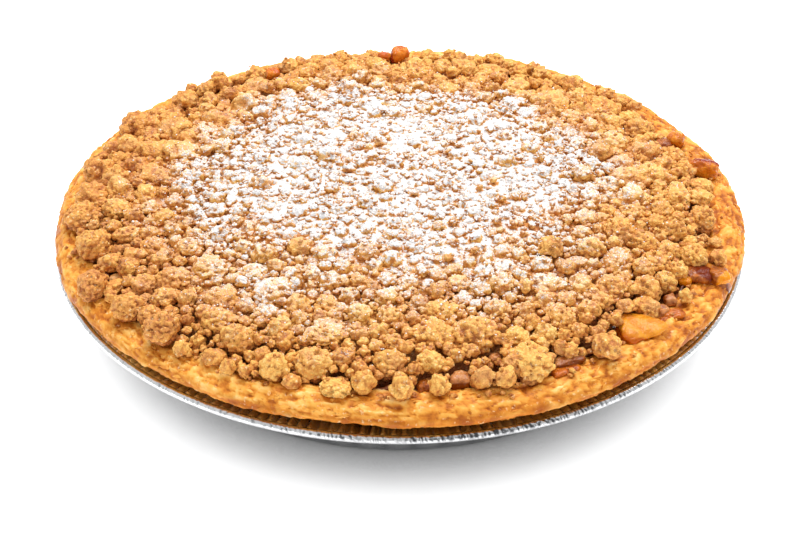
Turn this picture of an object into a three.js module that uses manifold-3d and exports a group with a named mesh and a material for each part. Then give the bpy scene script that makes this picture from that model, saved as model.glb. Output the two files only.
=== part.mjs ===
// Crumb apple pie baked and served in its foil pan: a round pan of thin aluminium with a fluted wall, a
// ribbed brim and a rolled bead, a pastry shell whose thick rim lifts off the brim, a cooked apple filling
// with the apple pieces that show at its edge, and a heap of streusel crumbs over it all.
//
// Millimetres, +Z up. The origin is the middle of the pan's flat base, and -Y is the side seen from the front.
import * as THREE from "three";
import Module from "manifold-3d";
import { mergeVertices } from "three/addons/utils/BufferGeometryUtils.js";

const wasm = await Module();
wasm.setup();

// ---------------------------------------------------------------- driving sizes
const RIM_R = 122.4; // outer radius of the pan's rolled bead
const BASE_R = 90.5; // radius of the flat base
const WALL_TOP_R = 110.6; // where the sloping wall turns into the brim
const BRIM_Z = 28.6; // upper face of the brim
const BEAD_R = 1.5; // half the height of the rolled bead
const BEAD_Z = 28.9; // height of the bead's middle
const FOIL = 0.45; // thickness of the foil, hem included
const FLUTES = 60; // flutes round the wall
const FLUTE_DEEP = 0.6; // how far a flute stands in or out at the wall's top
const RIB_DEEP = 0.2; // the same, for the ribs of the brim

const GAP = 0.35; // clearance between neighbouring pieces
const CRUST = 4.2; // thickness of the pastry under the filling
const CRUST_R = 121.5; // mean outer radius of the pastry rim
const CRUST_Z = 33.7; // lower edge of the pastry rim, clear above the brim
const RIM_TOP_Z = 40.0; // crest of the pastry rim
const LIP_R = 109.3; // inner lip of the pastry rim
const FILL_R = 107.0; // radius of the filling at its top
const FILL_Z = 38.4; // level of the filling

const HEAP_R = 111.6; // mean radius of the foot of the crumb heap
const HEAP_Z = 54.0; // height of the heap at its middle, between its lumps
const SHOULDER_R = 103.0; // where the heap rounds over to its foot
const SHOULDER_Z = 45.2;
const HEAP_RINGS = 15; // rings of facets on the heap

const DEG = Math.PI / 180;

// ---------------------------------------------------------------- uneven, handmade outlines
// Each wave is [how many round the pie, height in mm, phase].
const wave = (a, terms) => terms.reduce((s, [k, h, p]) => s + h * Math.sin(k * a + p), 0);
const EDGE_WAVES = [[2, 0.16, 0.4], [5, 0.17, 2.1], [9, 0.15, 1.2], [14, 0.12, 4.0], [23, 0.1, 0.7]];
const LIFT_WAVES = [[3, 0.3, 1.1], [4, 0.25, 3.7], [7, 0.22, 0.3], [13, 0.16, 5.2]];
const CREST_WAVES = [[4, 0.35, 2.6], [6, 0.3, 0.2], [11, 0.3, 4.4], [17, 0.22, 1.5]];
const LIP_WAVES = [[3, 0.5, 0.9], [8, 0.45, 2.2], [13, 0.4, 5.0], [21, 0.3, 0.6]];
const FOOT_WAVES = [[1, 1.8, 4.54], [4, 0.6, 0.8], [7, 0.5, 2.4], [12, 0.55, 4.9], [19, 0.45, 1.3]];

// Where the heap draws back and the filling shows: [bearing in degrees, half width in degrees, depth in mm].
const BARE = [
  [-23, 5.5, 6.0],
  [-36, 5.0, 5.0],
  [-45, 5.5, 6.5],
  [-61, 4.0, 4.0],
  [-73, 2.5, 2.5],
  [-80, 3.0, 4.6],
  [-86, 2.5, 4.2],
  [-100, 2.5, 3.0],
  [-154, 6.0, 3.0],
  [11, 4.0, 3.2],
  [21, 3.5, 2.0],
  [90, 3.0, 1.6],
];
const turn = (a) => Math.atan2(Math.sin(a), Math.cos(a));
const bare = (a) => BARE.reduce((s, [b, w, d]) => Math.max(s, d * Math.exp(-((turn(a - b * DEG) / (w * DEG)) ** 2))), 0);
const footRadius = (a) => HEAP_R + wave(a, FOOT_WAVES) - bare(a);

// ---------------------------------------------------------------- helpers
// A turned shape, stood up along Z, whose every point is then moved by shape(radius, bearing, height).
function turned(points, segments, shape) {
  const g = new THREE.LatheGeometry(points.map(([r, z]) => new THREE.Vector2(r, z)), segments);
  g.rotateX(Math.PI / 2);
  const p = g.attributes.position;
  for (let i = 0; i < p.count; i++) {
    const x = p.getX(i), y = p.getY(i), z = p.getZ(i), r = Math.hypot(x, y);
    if (r < 1e-6) {
      p.setXYZ(i, 0, 0, z);
      continue;
    }
    const a = Math.atan2(y, x), [nr, nz] = shape(r, a, z);
    p.setXYZ(i, nr * Math.cos(a), nr * Math.sin(a), nz);
  }
  return g;
}

function solid(geometry) {
  const g = geometry.index ? geometry.toNonIndexed() : geometry.clone();
  g.deleteAttribute("normal");
  g.deleteAttribute("uv");
  const m = mergeVertices(g, 1e-3), index = [];
  for (let i = 0; i < m.index.count; i += 3) {
    const t = [m.index.getX(i), m.index.getX(i + 1), m.index.getX(i + 2)];
    if (t[0] !== t[1] && t[1] !== t[2] && t[0] !== t[2]) index.push(...t);
  }
  const make = () => new wasm.Manifold(new wasm.Mesh({ numProp: 3, vertProperties: Float32Array.from(m.attributes.position.array), triVerts: Uint32Array.from(index) }));
  let s = make();
  if (s.volume() < 0) {
    for (let i = 0; i < index.length; i += 3) [index[i + 1], index[i + 2]] = [index[i + 2], index[i + 1]];
    s = make();
  }
  return s;
}

// The largest body of a solid, so that a sliver cut loose by a boolean is dropped.
const mainBody = (s) => s.decompose().sort((a, b) => b.volume() - a.volume())[0];

function geometryOf(s) {
  const m = s.getMesh(), n = m.numProp, v = new Float32Array(m.numVert * 3);
  for (let i = 0; i < m.numVert; i++) v.set(m.vertProperties.subarray(i * n, i * n + 3), i * 3);
  const g = new THREE.BufferGeometry();
  g.setAttribute("position", new THREE.BufferAttribute(v, 3));
  g.setIndex(new THREE.BufferAttribute(Uint32Array.from(m.triVerts), 1));
  g.computeVertexNormals();
  return g;
}

const pie = new THREE.Group();
pie.name = "crumb_apple_pie";
function add(name, s, color, roughness, metalness) {
  const mesh = new THREE.Mesh(geometryOf(s), new THREE.MeshStandardMaterial({ color, roughness, metalness }));
  mesh.name = name;
  pie.add(mesh);
}

// ---------------------------------------------------------------- the foil pan
const flute = (a) => Math.cos(FLUTES * a);
const smooth = (x) => (x <= 0 ? 0 : x >= 1 ? 1 : x * x * (3 - 2 * x));
function panShape(r, a, z) {
  if (r < BASE_R + 1.5) return [r, z];
  if (r <= WALL_TOP_R + 0.6) return [r + FLUTE_DEEP * smooth((r - BASE_R - 1.5) / (WALL_TOP_R - BASE_R - 1.5)) * flute(a), z];
  return [r, z - RIB_DEEP * (1 - smooth((r - 116.5) / 3.0)) * flute(a)];
}
const bead = (t) => [RIM_R - BEAD_R + BEAD_R * Math.cos(t * DEG), BEAD_Z + BEAD_R * Math.sin(t * DEG)];
const panGeometry = turned(
  [
    [0, 0],
    [BASE_R - 1.2, 0],
    [BASE_R + 0.6, 1.0],
    [WALL_TOP_R, BRIM_Z - FOIL - 0.6],
    [RIM_R - 2 * BEAD_R - 0.4, BRIM_Z - FOIL],
    bead(-95),
    bead(-20),
    bead(40),
    bead(105),
    [RIM_R - 2 * BEAD_R - 0.4, BRIM_Z],
    [WALL_TOP_R + 0.1, BRIM_Z - 0.35],
    [BASE_R + 0.1, 1.0 + FOIL * 0.9],
    [BASE_R - 1.5, FOIL],
    [0, FOIL],
  ],
  2 * FLUTES,
  panShape,
);
add("foil_pan", solid(panGeometry), 0xd4d6d8, 0.3, 1.0);

// ---------------------------------------------------------------- the pastry shell
const SHELL_GAP = FLUTE_DEEP + GAP; // the shell's side clears the flutes
function crustShape(r, a, z) {
  if (r > 116 && z < CRUST_Z + 5.5) return [r + wave(a, EDGE_WAVES), z + wave(a, LIFT_WAVES)];
  if (z > RIM_TOP_Z - 1.2 && r > LIP_R + 0.8) return [r, z + wave(a, CREST_WAVES)];
  if (z > FILL_Z && r > FILL_R) return [r + wave(a, LIP_WAVES), z + 0.3 * wave(a, CREST_WAVES)];
  return [r, z];
}
const crustGeometry = turned(
  [
    [0, FOIL + GAP],
    [BASE_R - 2.2, FOIL + GAP],
    [BASE_R - 0.4, 2.6],
    [WALL_TOP_R - SHELL_GAP - 1.1, BRIM_Z - 1.6],
    [WALL_TOP_R - 0.6, BRIM_Z + RIB_DEEP + GAP + 0.15],
    [WALL_TOP_R + 1.8, BRIM_Z + RIB_DEEP + GAP],
    [CRUST_R - 0.7, CRUST_Z],
    [CRUST_R, CRUST_Z + 1.7],
    [CRUST_R - 1.1, CRUST_Z + 4.0],
    [CRUST_R - 4.2, RIM_TOP_Z - 0.5],
    [CRUST_R - 8.5, RIM_TOP_Z],
    [LIP_R, RIM_TOP_Z - 0.9],
    [FILL_R - 0.4, FILL_Z - 2.2],
    [BASE_R - 4.6, FOIL + GAP + CRUST + 1.2],
    [BASE_R - 8.0, FOIL + GAP + CRUST],
    [0, FOIL + GAP + CRUST],
  ],
  60,
  crustShape,
);

// ---------------------------------------------------------------- the apple filling
const FILL_FLOOR_Z = FOIL + GAP + CRUST + GAP;
const FILL_WAVES = [[9, 0.18, 1.0], [16, 0.16, 2.0]];
const fillGeometry = turned(
  [
    [0, FILL_FLOOR_Z],
    [BASE_R - 8.4, FILL_FLOOR_Z],
    [BASE_R - 5.4, FILL_FLOOR_Z + 1.3],
    [FILL_R - 1.9, FILL_Z - 2.6],
    [FILL_R - 2.6, FILL_Z - 0.6],
    [FILL_R - 5.6, FILL_Z],
    [0, FILL_Z + 0.9],
  ],
  54,
  (r, a, z) => [r, z > FILL_Z - 1.0 && r > 90 ? z + wave(a, FILL_WAVES) : z],
);

// ---------------------------------------------------------------- the crumb heap
function heapHeight(r, a) {
  const u = Math.min(1, r / footRadius(a)), shoulder = SHOULDER_R / HEAP_R;
  if (u <= shoulder) return SHOULDER_Z + (HEAP_Z - SHOULDER_Z) * (1 - Math.pow(u / shoulder, 3));
  const t = (u - shoulder) / (1 - shoulder);
  return RIM_TOP_Z + 1.9 + (SHOULDER_Z - RIM_TOP_Z - 1.9) * Math.sqrt(Math.max(0, 1 - t * t));
}
// Lumps of the heap, spread by the golden angle: each is a low round boss of its own radius and height.
const LUMPS = Array.from({ length: 150 }, (_, i) => {
  const far = 106 * Math.sqrt((i + 0.5) / 150), a = i * 2.399963 + 0.37 * Math.sin(i * 1.7);
  return { x: far * Math.cos(a), y: far * Math.sin(a), r: 5.4 + 2.6 * Math.abs(Math.sin(i * 12.9898)), h: 0.9 + 1.5 * Math.abs(Math.sin(i * 78.233)) };
});
const lump = (x, y) =>
  LUMPS.reduce((h, l) => {
    const d = Math.hypot(x - l.x, y - l.y) / l.r;
    return d < 1 ? Math.max(h, l.h * Math.sqrt(1 - d * d)) : h;
  }, 0);

// A round heap: rings of 6, 12, 18... points over the top, a low side and a shallow dish underneath.
function heapGeometry() {
  const v = [0, 0, heapHeight(0, 0)], index = [], first = [0], n = HEAP_RINGS;
  const share = (i) => (i === n ? 1 : i === n - 1 ? 0.972 : (0.93 * i) / (n - 2));
  for (let i = 1; i <= n; i++) {
    first.push(v.length / 3);
    for (let k = 0; k < 6 * i; k++) {
      const a = (k / (6 * i)) * 2 * Math.PI, r = share(i) * footRadius(a), x = r * Math.cos(a), y = r * Math.sin(a);
      v.push(x, y, heapHeight(r, a) + lump(x, y) * Math.min(1, (footRadius(a) - r) / 4 + 0.15));
    }
  }
  for (let i = 1; i <= n; i++)
    for (let side = 0; side < 6; side++)
      for (let k = 0; k < i; k++) {
        const outer = (j) => first[i] + ((side * i + j) % (6 * i)), inner = (j) => (i === 1 ? 0 : first[i - 1] + ((side * (i - 1) + j) % (6 * (i - 1))));
        index.push(outer(k), outer(k + 1), inner(k));
        if (k < i - 1) index.push(inner(k), outer(k + 1), inner(k + 1));
      }
  let ring = first[n];
  const m = 6 * n, floor = FILL_Z + 0.9 + GAP;
  const lower = [
    (a) => [footRadius(a) - 0.2, RIM_TOP_Z + 0.9 + Math.max(0, wave(a, CREST_WAVES)) * 0.9],
    () => [97, floor],
  ];
  for (const at of lower) {
    const next = v.length / 3;
    for (let k = 0; k < m; k++) {
      const a = (k / m) * 2 * Math.PI, [r, z] = at(a);
      v.push(r * Math.cos(a), r * Math.sin(a), z);
    }
    for (let k = 0; k < m; k++) {
      const l = (k + 1) % m;
      index.push(ring + l, ring + k, next + k, ring + l, next + k, next + l);
    }
    ring = next;
  }
  const middle = v.length / 3;
  v.push(0, 0, floor);
  for (let k = 0; k < m; k++) index.push(ring + ((k + 1) % m), ring + k, middle);
  const g = new THREE.BufferGeometry();
  g.setAttribute("position", new THREE.BufferAttribute(Float32Array.from(v), 3));
  g.setIndex(index);
  return g;
}

// ---------------------------------------------------------------- apple pieces at the edge of the filling
// A cooked dice or slice of apple: its bearing in degrees, distance from the middle and height, its half
// sizes along X, Y and Z, how far it is turned about Z, and how it leans.
const APPLE = [
  { name: "apple_piece_back", at: [90.0, 105.2, 44.4], half: [3.5, 2.9, 3.1], spin: 12, lean: 14, detail: 1 },
  { name: "apple_piece_back_left", at: [118.5, 105.0, 43.0], half: [2.7, 2.3, 1.9], spin: 20, lean: 8, detail: 1 },
  { name: "apple_wedge_right_back", at: [10.3, 112.3, 42.5], half: [5.5, 3.2, 3.4], spin: -14, lean: -10, detail: 2 },
  { name: "apple_piece_right_back_inner", at: [20.7, 103.8, 42.5], half: [3.3, 2.6, 2.0], spin: 10, lean: 6, detail: 1 },
  { name: "apple_piece_right_back_rim", at: [21.9, 110.8, 42.4], half: [3.1, 2.8, 2.4], spin: -25, lean: 4, detail: 1 },
  { name: "apple_piece_right", at: [-24.6, 110.6, 39.7], half: [4.9, 4.6, 2.6], spin: -20, lean: -4, detail: 1 },
  { name: "apple_piece_right_rim", at: [-24.2, 117.9, 41.1], half: [2.9, 2.9, 2.1], spin: 15, lean: 5, detail: 1 },
  { name: "apple_dice_right_front_upper", at: [-35.2, 109.0, 40.9], half: [2.0, 2.0, 1.9], spin: 15, lean: 8, detail: 1 },
  { name: "apple_dice_right_front_lower", at: [-38.6, 109.8, 40.6], half: [2.1, 2.0, 1.8], spin: 35, lean: -5, detail: 1 },
  { name: "apple_piece_right_front", at: [-37.4, 114.6, 40.3], half: [3.3, 2.0, 1.5], spin: 8, lean: 5, detail: 1 },
  { name: "apple_slice_front_right", at: [-44.9, 111.4, 40.8], half: [7.2, 4.4, 2.3], spin: 6, lean: -8, detail: 2 },
  { name: "apple_piece_front_right", at: [-60.9, 109.4, 40.2], half: [5.2, 2.7, 1.8], spin: 24, lean: 5, detail: 1 },
  { name: "apple_piece_front", at: [-79.9, 108.3, 40.6], half: [3.2, 2.9, 2.9], spin: -8, lean: 6, detail: 1 },
  { name: "apple_slice_front", at: [-85.9, 108.6, 39.5], half: [2.4, 2.7, 1.9], spin: 10, lean: -4, detail: 1 },
  { name: "apple_piece_left", at: [-157.6, 106.9, 41.2], half: [3.5, 3.0, 2.5], spin: 24, lean: 6, detail: 1 },
  { name: "apple_piece_left_front", at: [-151.3, 107.1, 41.0], half: [2.9, 2.6, 2.2], spin: -30, lean: -6, detail: 1 },
];

// A sphere pushed out towards a block, so that it has flat sides and round corners.
function placedBlock({ at: [bearing, r, z], half, spin, lean, detail }, grow) {
  const g = new THREE.IcosahedronGeometry(1, detail), p = g.attributes.position, n = 3.4;
  for (let i = 0; i < p.count; i++) {
    const x = p.getX(i), y = p.getY(i), h = p.getZ(i);
    const k = 1 / Math.pow(Math.abs(x) ** n + Math.abs(y) ** n + Math.abs(h) ** n, 1 / n);
    const dent = k * (1 + 0.05 * Math.sin(3.1 * x + 1.7 * y) + 0.04 * Math.sin(4.3 * h - 2.2 * x + 1.0));
    p.setXYZ(i, x * dent * (half[0] + grow), y * dent * (half[1] + grow), h * dent * (half[2] + grow));
  }
  const place = new THREE.Matrix4().makeTranslation(r * Math.cos(bearing * DEG), r * Math.sin(bearing * DEG), z);
  place.multiply(new THREE.Matrix4().makeRotationZ(spin * DEG)).multiply(new THREE.Matrix4().makeRotationX(lean * DEG));
  return solid(g.applyMatrix4(place));
}

let crust = solid(crustGeometry), filling = solid(fillGeometry), heap = solid(heapGeometry());
const pieces = [];
for (const piece of APPLE) {
  const around = placedBlock(piece, GAP);
  let s = placedBlock(piece, 0);
  for (const other of pieces) s = s.subtract(other.around);
  crust = crust.subtract(around);
  filling = filling.subtract(around);
  heap = heap.subtract(around);
  pieces.push({ name: piece.name, body: mainBody(s), around });
}

add("pastry_crust", mainBody(crust), 0xd9a05b, 0.6, 0);
add("apple_filling", mainBody(filling), 0x6b3a1c, 0.25, 0);
add("crumb_topping", mainBody(heap), 0xd2a468, 0.9, 0);
for (const { name, body } of pieces) add(name, body, 0xd98a32, 0.3, 0);

export default pie;
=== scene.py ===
"""Crumb apple pie in its foil pan. Shapes are worked out in millimetres and become metres when a mesh is made."""

import math

import bpy
import numpy as np
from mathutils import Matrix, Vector


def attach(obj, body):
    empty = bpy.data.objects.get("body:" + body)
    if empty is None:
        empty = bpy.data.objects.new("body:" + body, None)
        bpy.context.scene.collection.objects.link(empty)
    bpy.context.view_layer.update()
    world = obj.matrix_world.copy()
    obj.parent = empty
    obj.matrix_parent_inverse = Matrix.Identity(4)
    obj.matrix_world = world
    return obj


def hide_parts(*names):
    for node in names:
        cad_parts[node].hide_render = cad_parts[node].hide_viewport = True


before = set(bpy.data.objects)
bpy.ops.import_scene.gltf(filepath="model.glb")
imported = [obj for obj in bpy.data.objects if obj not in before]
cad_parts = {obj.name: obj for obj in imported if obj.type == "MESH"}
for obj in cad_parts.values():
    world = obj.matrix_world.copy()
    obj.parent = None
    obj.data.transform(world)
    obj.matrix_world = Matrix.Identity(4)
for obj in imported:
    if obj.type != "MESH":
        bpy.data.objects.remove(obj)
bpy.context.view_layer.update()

MM = 0.001
TAU = 2 * math.pi
rng = np.random.default_rng(20)


# ---------------------------------------------------------------- camera
def make_camera():
    data = bpy.data.cameras.new("camera")
    cam = bpy.data.objects.new("camera", data)
    bpy.context.scene.collection.objects.link(cam)
    data.sensor_fit = "HORIZONTAL"
    data.sensor_width = 36.0
    data.lens = 90.0
    data.clip_start, data.clip_end = 0.01, 50.0
    cam.location = (0.00011, -0.60698, 0.41427)
    cam.rotation_euler = (math.radians(90 - 33.468), 0, 0)
    bpy.context.scene.camera = cam


make_camera()


# ---------------------------------------------------------------- noise, on arrays of points
def hashed(ix, iy, iz, seed):
    with np.errstate(over="ignore"):
        h = (
            (ix.astype(np.int64).astype(np.uint32) * np.uint32(0x8DA6B343))
            ^ (iy.astype(np.int64).astype(np.uint32) * np.uint32(0xD8163841))
            ^ (iz.astype(np.int64).astype(np.uint32) * np.uint32(0xCB1AB31F))
            ^ np.uint32((seed * 0x9E3779B1) & 0xFFFFFFFF)
        )
        h ^= h >> np.uint32(15)
        h *= np.uint32(0x2C1B3C6D)
        h ^= h >> np.uint32(12)
        h *= np.uint32(0x297A2D39)
        h ^= h >> np.uint32(15)
    return h


def rand01(h):
    return h.astype(np.float64) / 4294967295.0


def smooth_noise(p, seed):
    """Smooth noise from -1 to 1 at each row of p, with features about one unit across."""
    c = np.floor(p)
    f = p - c
    f = f * f * f * (f * (f * 6 - 15) + 10)
    total = np.zeros(len(p))
    for dx in (0, 1):
        for dy in (0, 1):
            for dz in (0, 1):
                w = (
                    (f[:, 0] if dx else 1 - f[:, 0])
                    * (f[:, 1] if dy else 1 - f[:, 1])
                    * (f[:, 2] if dz else 1 - f[:, 2])
                )
                total += w * rand01(hashed(c[:, 0] + dx, c[:, 1] + dy, c[:, 2] + dz, seed))
    return total * 2 - 1


def fractal(p, seed, octaves=3, gain=0.5):
    total, amp, norm = np.zeros(len(p)), 1.0, 0.0
    for k in range(octaves):
        total += amp * smooth_noise(p * (2.03**k) + 17.3 * k, seed + k)
        norm += amp
        amp *= gain
    return total / norm


def cell_noise(p, seed):
    """(distance to the nearest cell's point, distance to the second, random value of the nearest cell)."""
    c = np.floor(p)
    near = np.full(len(p), 9.0)
    second = np.full(len(p), 9.0)
    who = np.zeros(len(p))
    for dx in (-1, 0, 1):
        for dy in (-1, 0, 1):
            for dz in (-1, 0, 1):
                q = c + (dx, dy, dz)
                h = hashed(q[:, 0], q[:, 1], q[:, 2], seed)
                jitter = np.stack(
                    [
                        rand01(h),
                        rand01(hashed(q[:, 0], q[:, 1], q[:, 2], seed + 101)),
                        rand01(hashed(q[:, 0], q[:, 1], q[:, 2], seed + 202)),
                    ],
                    axis=1,
                )
                d = np.linalg.norm(q + jitter - p, axis=1)
                closer = d < near
                second = np.where(closer, near, np.minimum(second, d))
                who = np.where(closer, rand01(hashed(q[:, 0], q[:, 1], q[:, 2], seed + 303)), who)
                near = np.where(closer, d, near)
    return near, second, who


def step(x, a, b):
    t = np.clip((x - a) / (b - a), 0, 1)
    return t * t * (3 - 2 * t)


def wave(a, terms):
    return sum(h * np.sin(k * a + p) for k, h, p in terms)


# ---------------------------------------------------------------- meshes from arrays
def make_mesh(name, v, f, values=None, smooth=True):
    """v in mm, f an array of faces, values {attribute name: value per vertex}."""
    v = np.asarray(v, dtype=np.float64)
    f = np.asarray(f, dtype=np.int32)
    me = bpy.data.meshes.new(name)
    count, sides = f.shape
    me.vertices.add(len(v))
    me.vertices.foreach_set("co", (v * MM).astype(np.float32).ravel())
    me.loops.add(count * sides)
    me.loops.foreach_set("vertex_index", f.ravel())
    me.polygons.add(count)
    me.polygons.foreach_set("loop_start", np.arange(0, count * sides, sides, dtype=np.int32))
    me.update(calc_edges=True)
    me.validate()
    me.polygons.foreach_set("use_smooth", np.full(len(me.polygons), smooth, dtype=bool))
    for key, val in (values or {}).items():
        at = me.attributes.new(key, "FLOAT", "POINT")
        at.data.foreach_set("value", np.asarray(val, dtype=np.float32))
    me.update()
    o = bpy.data.objects.new(name, me)
    bpy.context.scene.collection.objects.link(o)
    return o


def grid_faces(rows, cols, close_rows=False, close_cols=True):
    """Quads of a rows x cols grid of points, vertex = row * cols + col."""
    r = np.arange(rows if close_rows else rows - 1)
    c = np.arange(cols if close_cols else cols - 1)
    R, C = np.meshgrid(r, c, indexing="ij")
    R2, C2 = (R + 1) % rows, (C + 1) % cols
    return np.stack([R * cols + C, R * cols + C2, R2 * cols + C2, R2 * cols + C], axis=-1).reshape(-1, 4)


def icosphere(level):
    """Unit icosphere as (vertices, triangles): level 0 has 12 vertices, 1 has 42, 2 has 162, 3 has 642."""
    t = (1 + 5**0.5) / 2
    v = [(-1, t, 0), (1, t, 0), (-1, -t, 0), (1, -t, 0), (0, -1, t), (0, 1, t), (0, -1, -t), (0, 1, -t), (t, 0, -1), (t, 0, 1), (-t, 0, -1), (-t, 0, 1)]
    f = [(0, 11, 5), (0, 5, 1), (0, 1, 7), (0, 7, 10), (0, 10, 11), (1, 5, 9), (5, 11, 4), (11, 10, 2), (10, 7, 6), (7, 1, 8), (3, 9, 4), (3, 4, 2), (3, 2, 6), (3, 6, 8), (3, 8, 9), (4, 9, 5), (2, 4, 11), (6, 2, 10), (8, 6, 7), (9, 8, 1)]
    v = [np.array(p) / np.linalg.norm(p) for p in v]
    for _ in range(level):
        seen, out = {}, []

        def mid(a, b):
            key = (min(a, b), max(a, b))
            if key not in seen:
                m = v[a] + v[b]
                v.append(m / np.linalg.norm(m))
                seen[key] = len(v) - 1
            return seen[key]

        for a, b, c in f:
            ab, bc, ca = mid(a, b), mid(b, c), mid(c, a)
            out += [(a, ab, ca), (b, bc, ab), (c, ca, bc), (ab, bc, ca)]
        f = out
    return np.array(v), np.array(f, dtype=np.int32)


def disc_rings(n):
    """Triangles of a round grid: a middle point and rings of 6, 12, 18... points. Returns (ring of each vertex, share round, triangles)."""
    ring, share, first = [np.zeros(1)], [np.zeros(1)], [0]
    total = 1
    for i in range(1, n + 1):
        first.append(total)
        ring.append(np.full(6 * i, i, dtype=float))
        share.append(np.arange(6 * i) / (6 * i))
        total += 6 * i
    tris = []
    for i in range(1, n + 1):
        side = np.repeat(np.arange(6), i)
        k = np.tile(np.arange(i), 6)
        o = first[i] + (side * i + k) % (6 * i)
        o2 = first[i] + (side * i + k + 1) % (6 * i)
        inner_n = max(1, 6 * (i - 1))
        q = first[i - 1] + (side * (i - 1) + k) % inner_n
        q2 = first[i - 1] + (side * (i - 1) + k + 1) % inner_n
        tris.append(np.stack([o, o2, q], axis=1))
        keep = k < i - 1
        tris.append(np.stack([q, o2, q2], axis=1)[keep])
    return np.concatenate(ring), np.concatenate(share), np.concatenate(tris).astype(np.int32)


def spline(points, n, weight=None):
    """n points along a smooth curve through points, open, spread evenly or closer together where weight(r, z) is larger."""
    p = np.array(points, dtype=float)
    q = np.vstack([2 * p[0] - p[1], p, 2 * p[-1] - p[-2]])
    out = []
    for i in range(1, len(q) - 2):
        t = np.linspace(0, 1, 24, endpoint=False)[:, None]
        a, b, c, d = q[i - 1], q[i], q[i + 1], q[i + 2]
        out.append(0.5 * (2 * b + (c - a) * t + (2 * a - 5 * b + 4 * c - d) * t**2 + (3 * b - a - 3 * c + d) * t**3))
    out = np.vstack(out + [p[-1:]])
    length = np.linalg.norm(np.diff(out, axis=0), axis=1)
    if weight is not None:
        middle = (out[1:] + out[:-1]) / 2
        length = length * weight(middle[:, 0], middle[:, 1])
    s = np.r_[0, np.cumsum(length)]
    t = np.linspace(0, s[-1], n)
    return np.stack([np.interp(t, s, out[:, 0]), np.interp(t, s, out[:, 1])], axis=1)


# ---------------------------------------------------------------- material helper
class Mat:
    """A node material under construction."""

    def __init__(self, name):
        self.m = bpy.data.materials.new(name)
        self.m.use_nodes = True
        self.t = self.m.node_tree
        self.t.nodes.clear()
        self.out = self.t.nodes.new("ShaderNodeOutputMaterial")
        self.s = self.t.nodes.new("ShaderNodeBsdfPrincipled")
        self.t.links.new(self.s.outputs[0], self.out.inputs[0])
        self.coord = self.t.nodes.new("ShaderNodeTexCoord").outputs["Object"]

    def link(self, a, b):
        self.t.links.new(a, b)

    def put(self, socket, value):
        if hasattr(value, "links") or isinstance(value, bpy.types.NodeSocket):
            self.link(value, socket)
        else:
            socket.default_value = value

    def noise(self, scale, detail=2.0, rough=0.5, distort=0.0, vector=None, kind=None):
        n = self.t.nodes.new("ShaderNodeTexNoise")
        n.inputs["Scale"].default_value = scale
        n.inputs["Detail"].default_value = detail
        n.inputs["Roughness"].default_value = rough
        n.inputs["Distortion"].default_value = distort
        self.link(vector or self.coord, n.inputs["Vector"])
        return n.outputs["Fac"]

    def cells(self, scale, feature="F1", random=1.0, vector=None, smooth=None):
        n = self.t.nodes.new("ShaderNodeTexVoronoi")
        n.feature = feature
        n.inputs["Scale"].default_value = scale
        n.inputs["Randomness"].default_value = random
        if smooth is not None and "Smoothness" in n.inputs:
            n.inputs["Smoothness"].default_value = smooth
        self.link(vector or self.coord, n.inputs["Vector"])
        return n.outputs["Distance"]

    def attr(self, name):
        n = self.t.nodes.new("ShaderNodeAttribute")
        n.attribute_name = name
        return n.outputs["Fac"]

    def math(self, op, a, b=0.0, c=None, clamp=False):
        n = self.t.nodes.new("ShaderNodeMath")
        n.operation = op
        n.use_clamp = clamp
        self.put(n.inputs[0], a)
        self.put(n.inputs[1], b)
        if c is not None:
            self.put(n.inputs[2], c)
        return n.outputs[0]

    def span(self, x, a, b, c=0.0, d=1.0, smooth=True):
        n = self.t.nodes.new("ShaderNodeMapRange")
        n.interpolation_type = "SMOOTHSTEP" if smooth else "LINEAR"
        n.clamp = True
        self.put(n.inputs["Value"], x)
        n.inputs["From Min"].default_value = a
        n.inputs["From Max"].default_value = b
        n.inputs["To Min"].default_value = c
        n.inputs["To Max"].default_value = d
        return n.outputs["Result"]

    def ramp(self, x, stops):
        n = self.t.nodes.new("ShaderNodeValToRGB")
        e = n.color_ramp.elements
        while len(e) > 1:
            e.remove(e[-1])
        e[0].position, e[0].color = stops[0][0], (*stops[0][1], 1)
        for pos, col in stops[1:]:
            k = e.new(pos)
            k.color = (*col, 1)
        self.put(n.inputs[0], x)
        return n.outputs[0]

    def mix(self, fac, a, b, kind="MIX"):
        n = self.t.nodes.new("ShaderNodeMix")
        n.data_type = "RGBA"
        n.blend_type = kind
        self.put(n.inputs[0], fac)
        for k, val in ((6, a), (7, b)):
            if isinstance(val, tuple):
                n.inputs[k].default_value = (*val, 1)
            else:
                self.link(val, n.inputs[k])
        return n.outputs[2]

    def bump(self, height, strength, distance, normal=None):
        n = self.t.nodes.new("ShaderNodeBump")
        n.inputs["Strength"].default_value = strength
        n.inputs["Distance"].default_value = distance
        self.link(height, n.inputs["Height"])
        if normal is not None:
            self.link(normal, n.inputs["Normal"])
        return n.outputs["Normal"]

    def up(self):
        """How far a surface faces upwards, from -1 to 1."""
        g = self.t.nodes.new("ShaderNodeNewGeometry")
        x = self.t.nodes.new("ShaderNodeSeparateXYZ")
        self.link(g.outputs["Normal"], x.inputs[0])
        return x.outputs["Z"]

    def set(self, **values):
        for key, val in values.items():
            self.put(self.s.inputs[key.replace("_", " ")], val)


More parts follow.
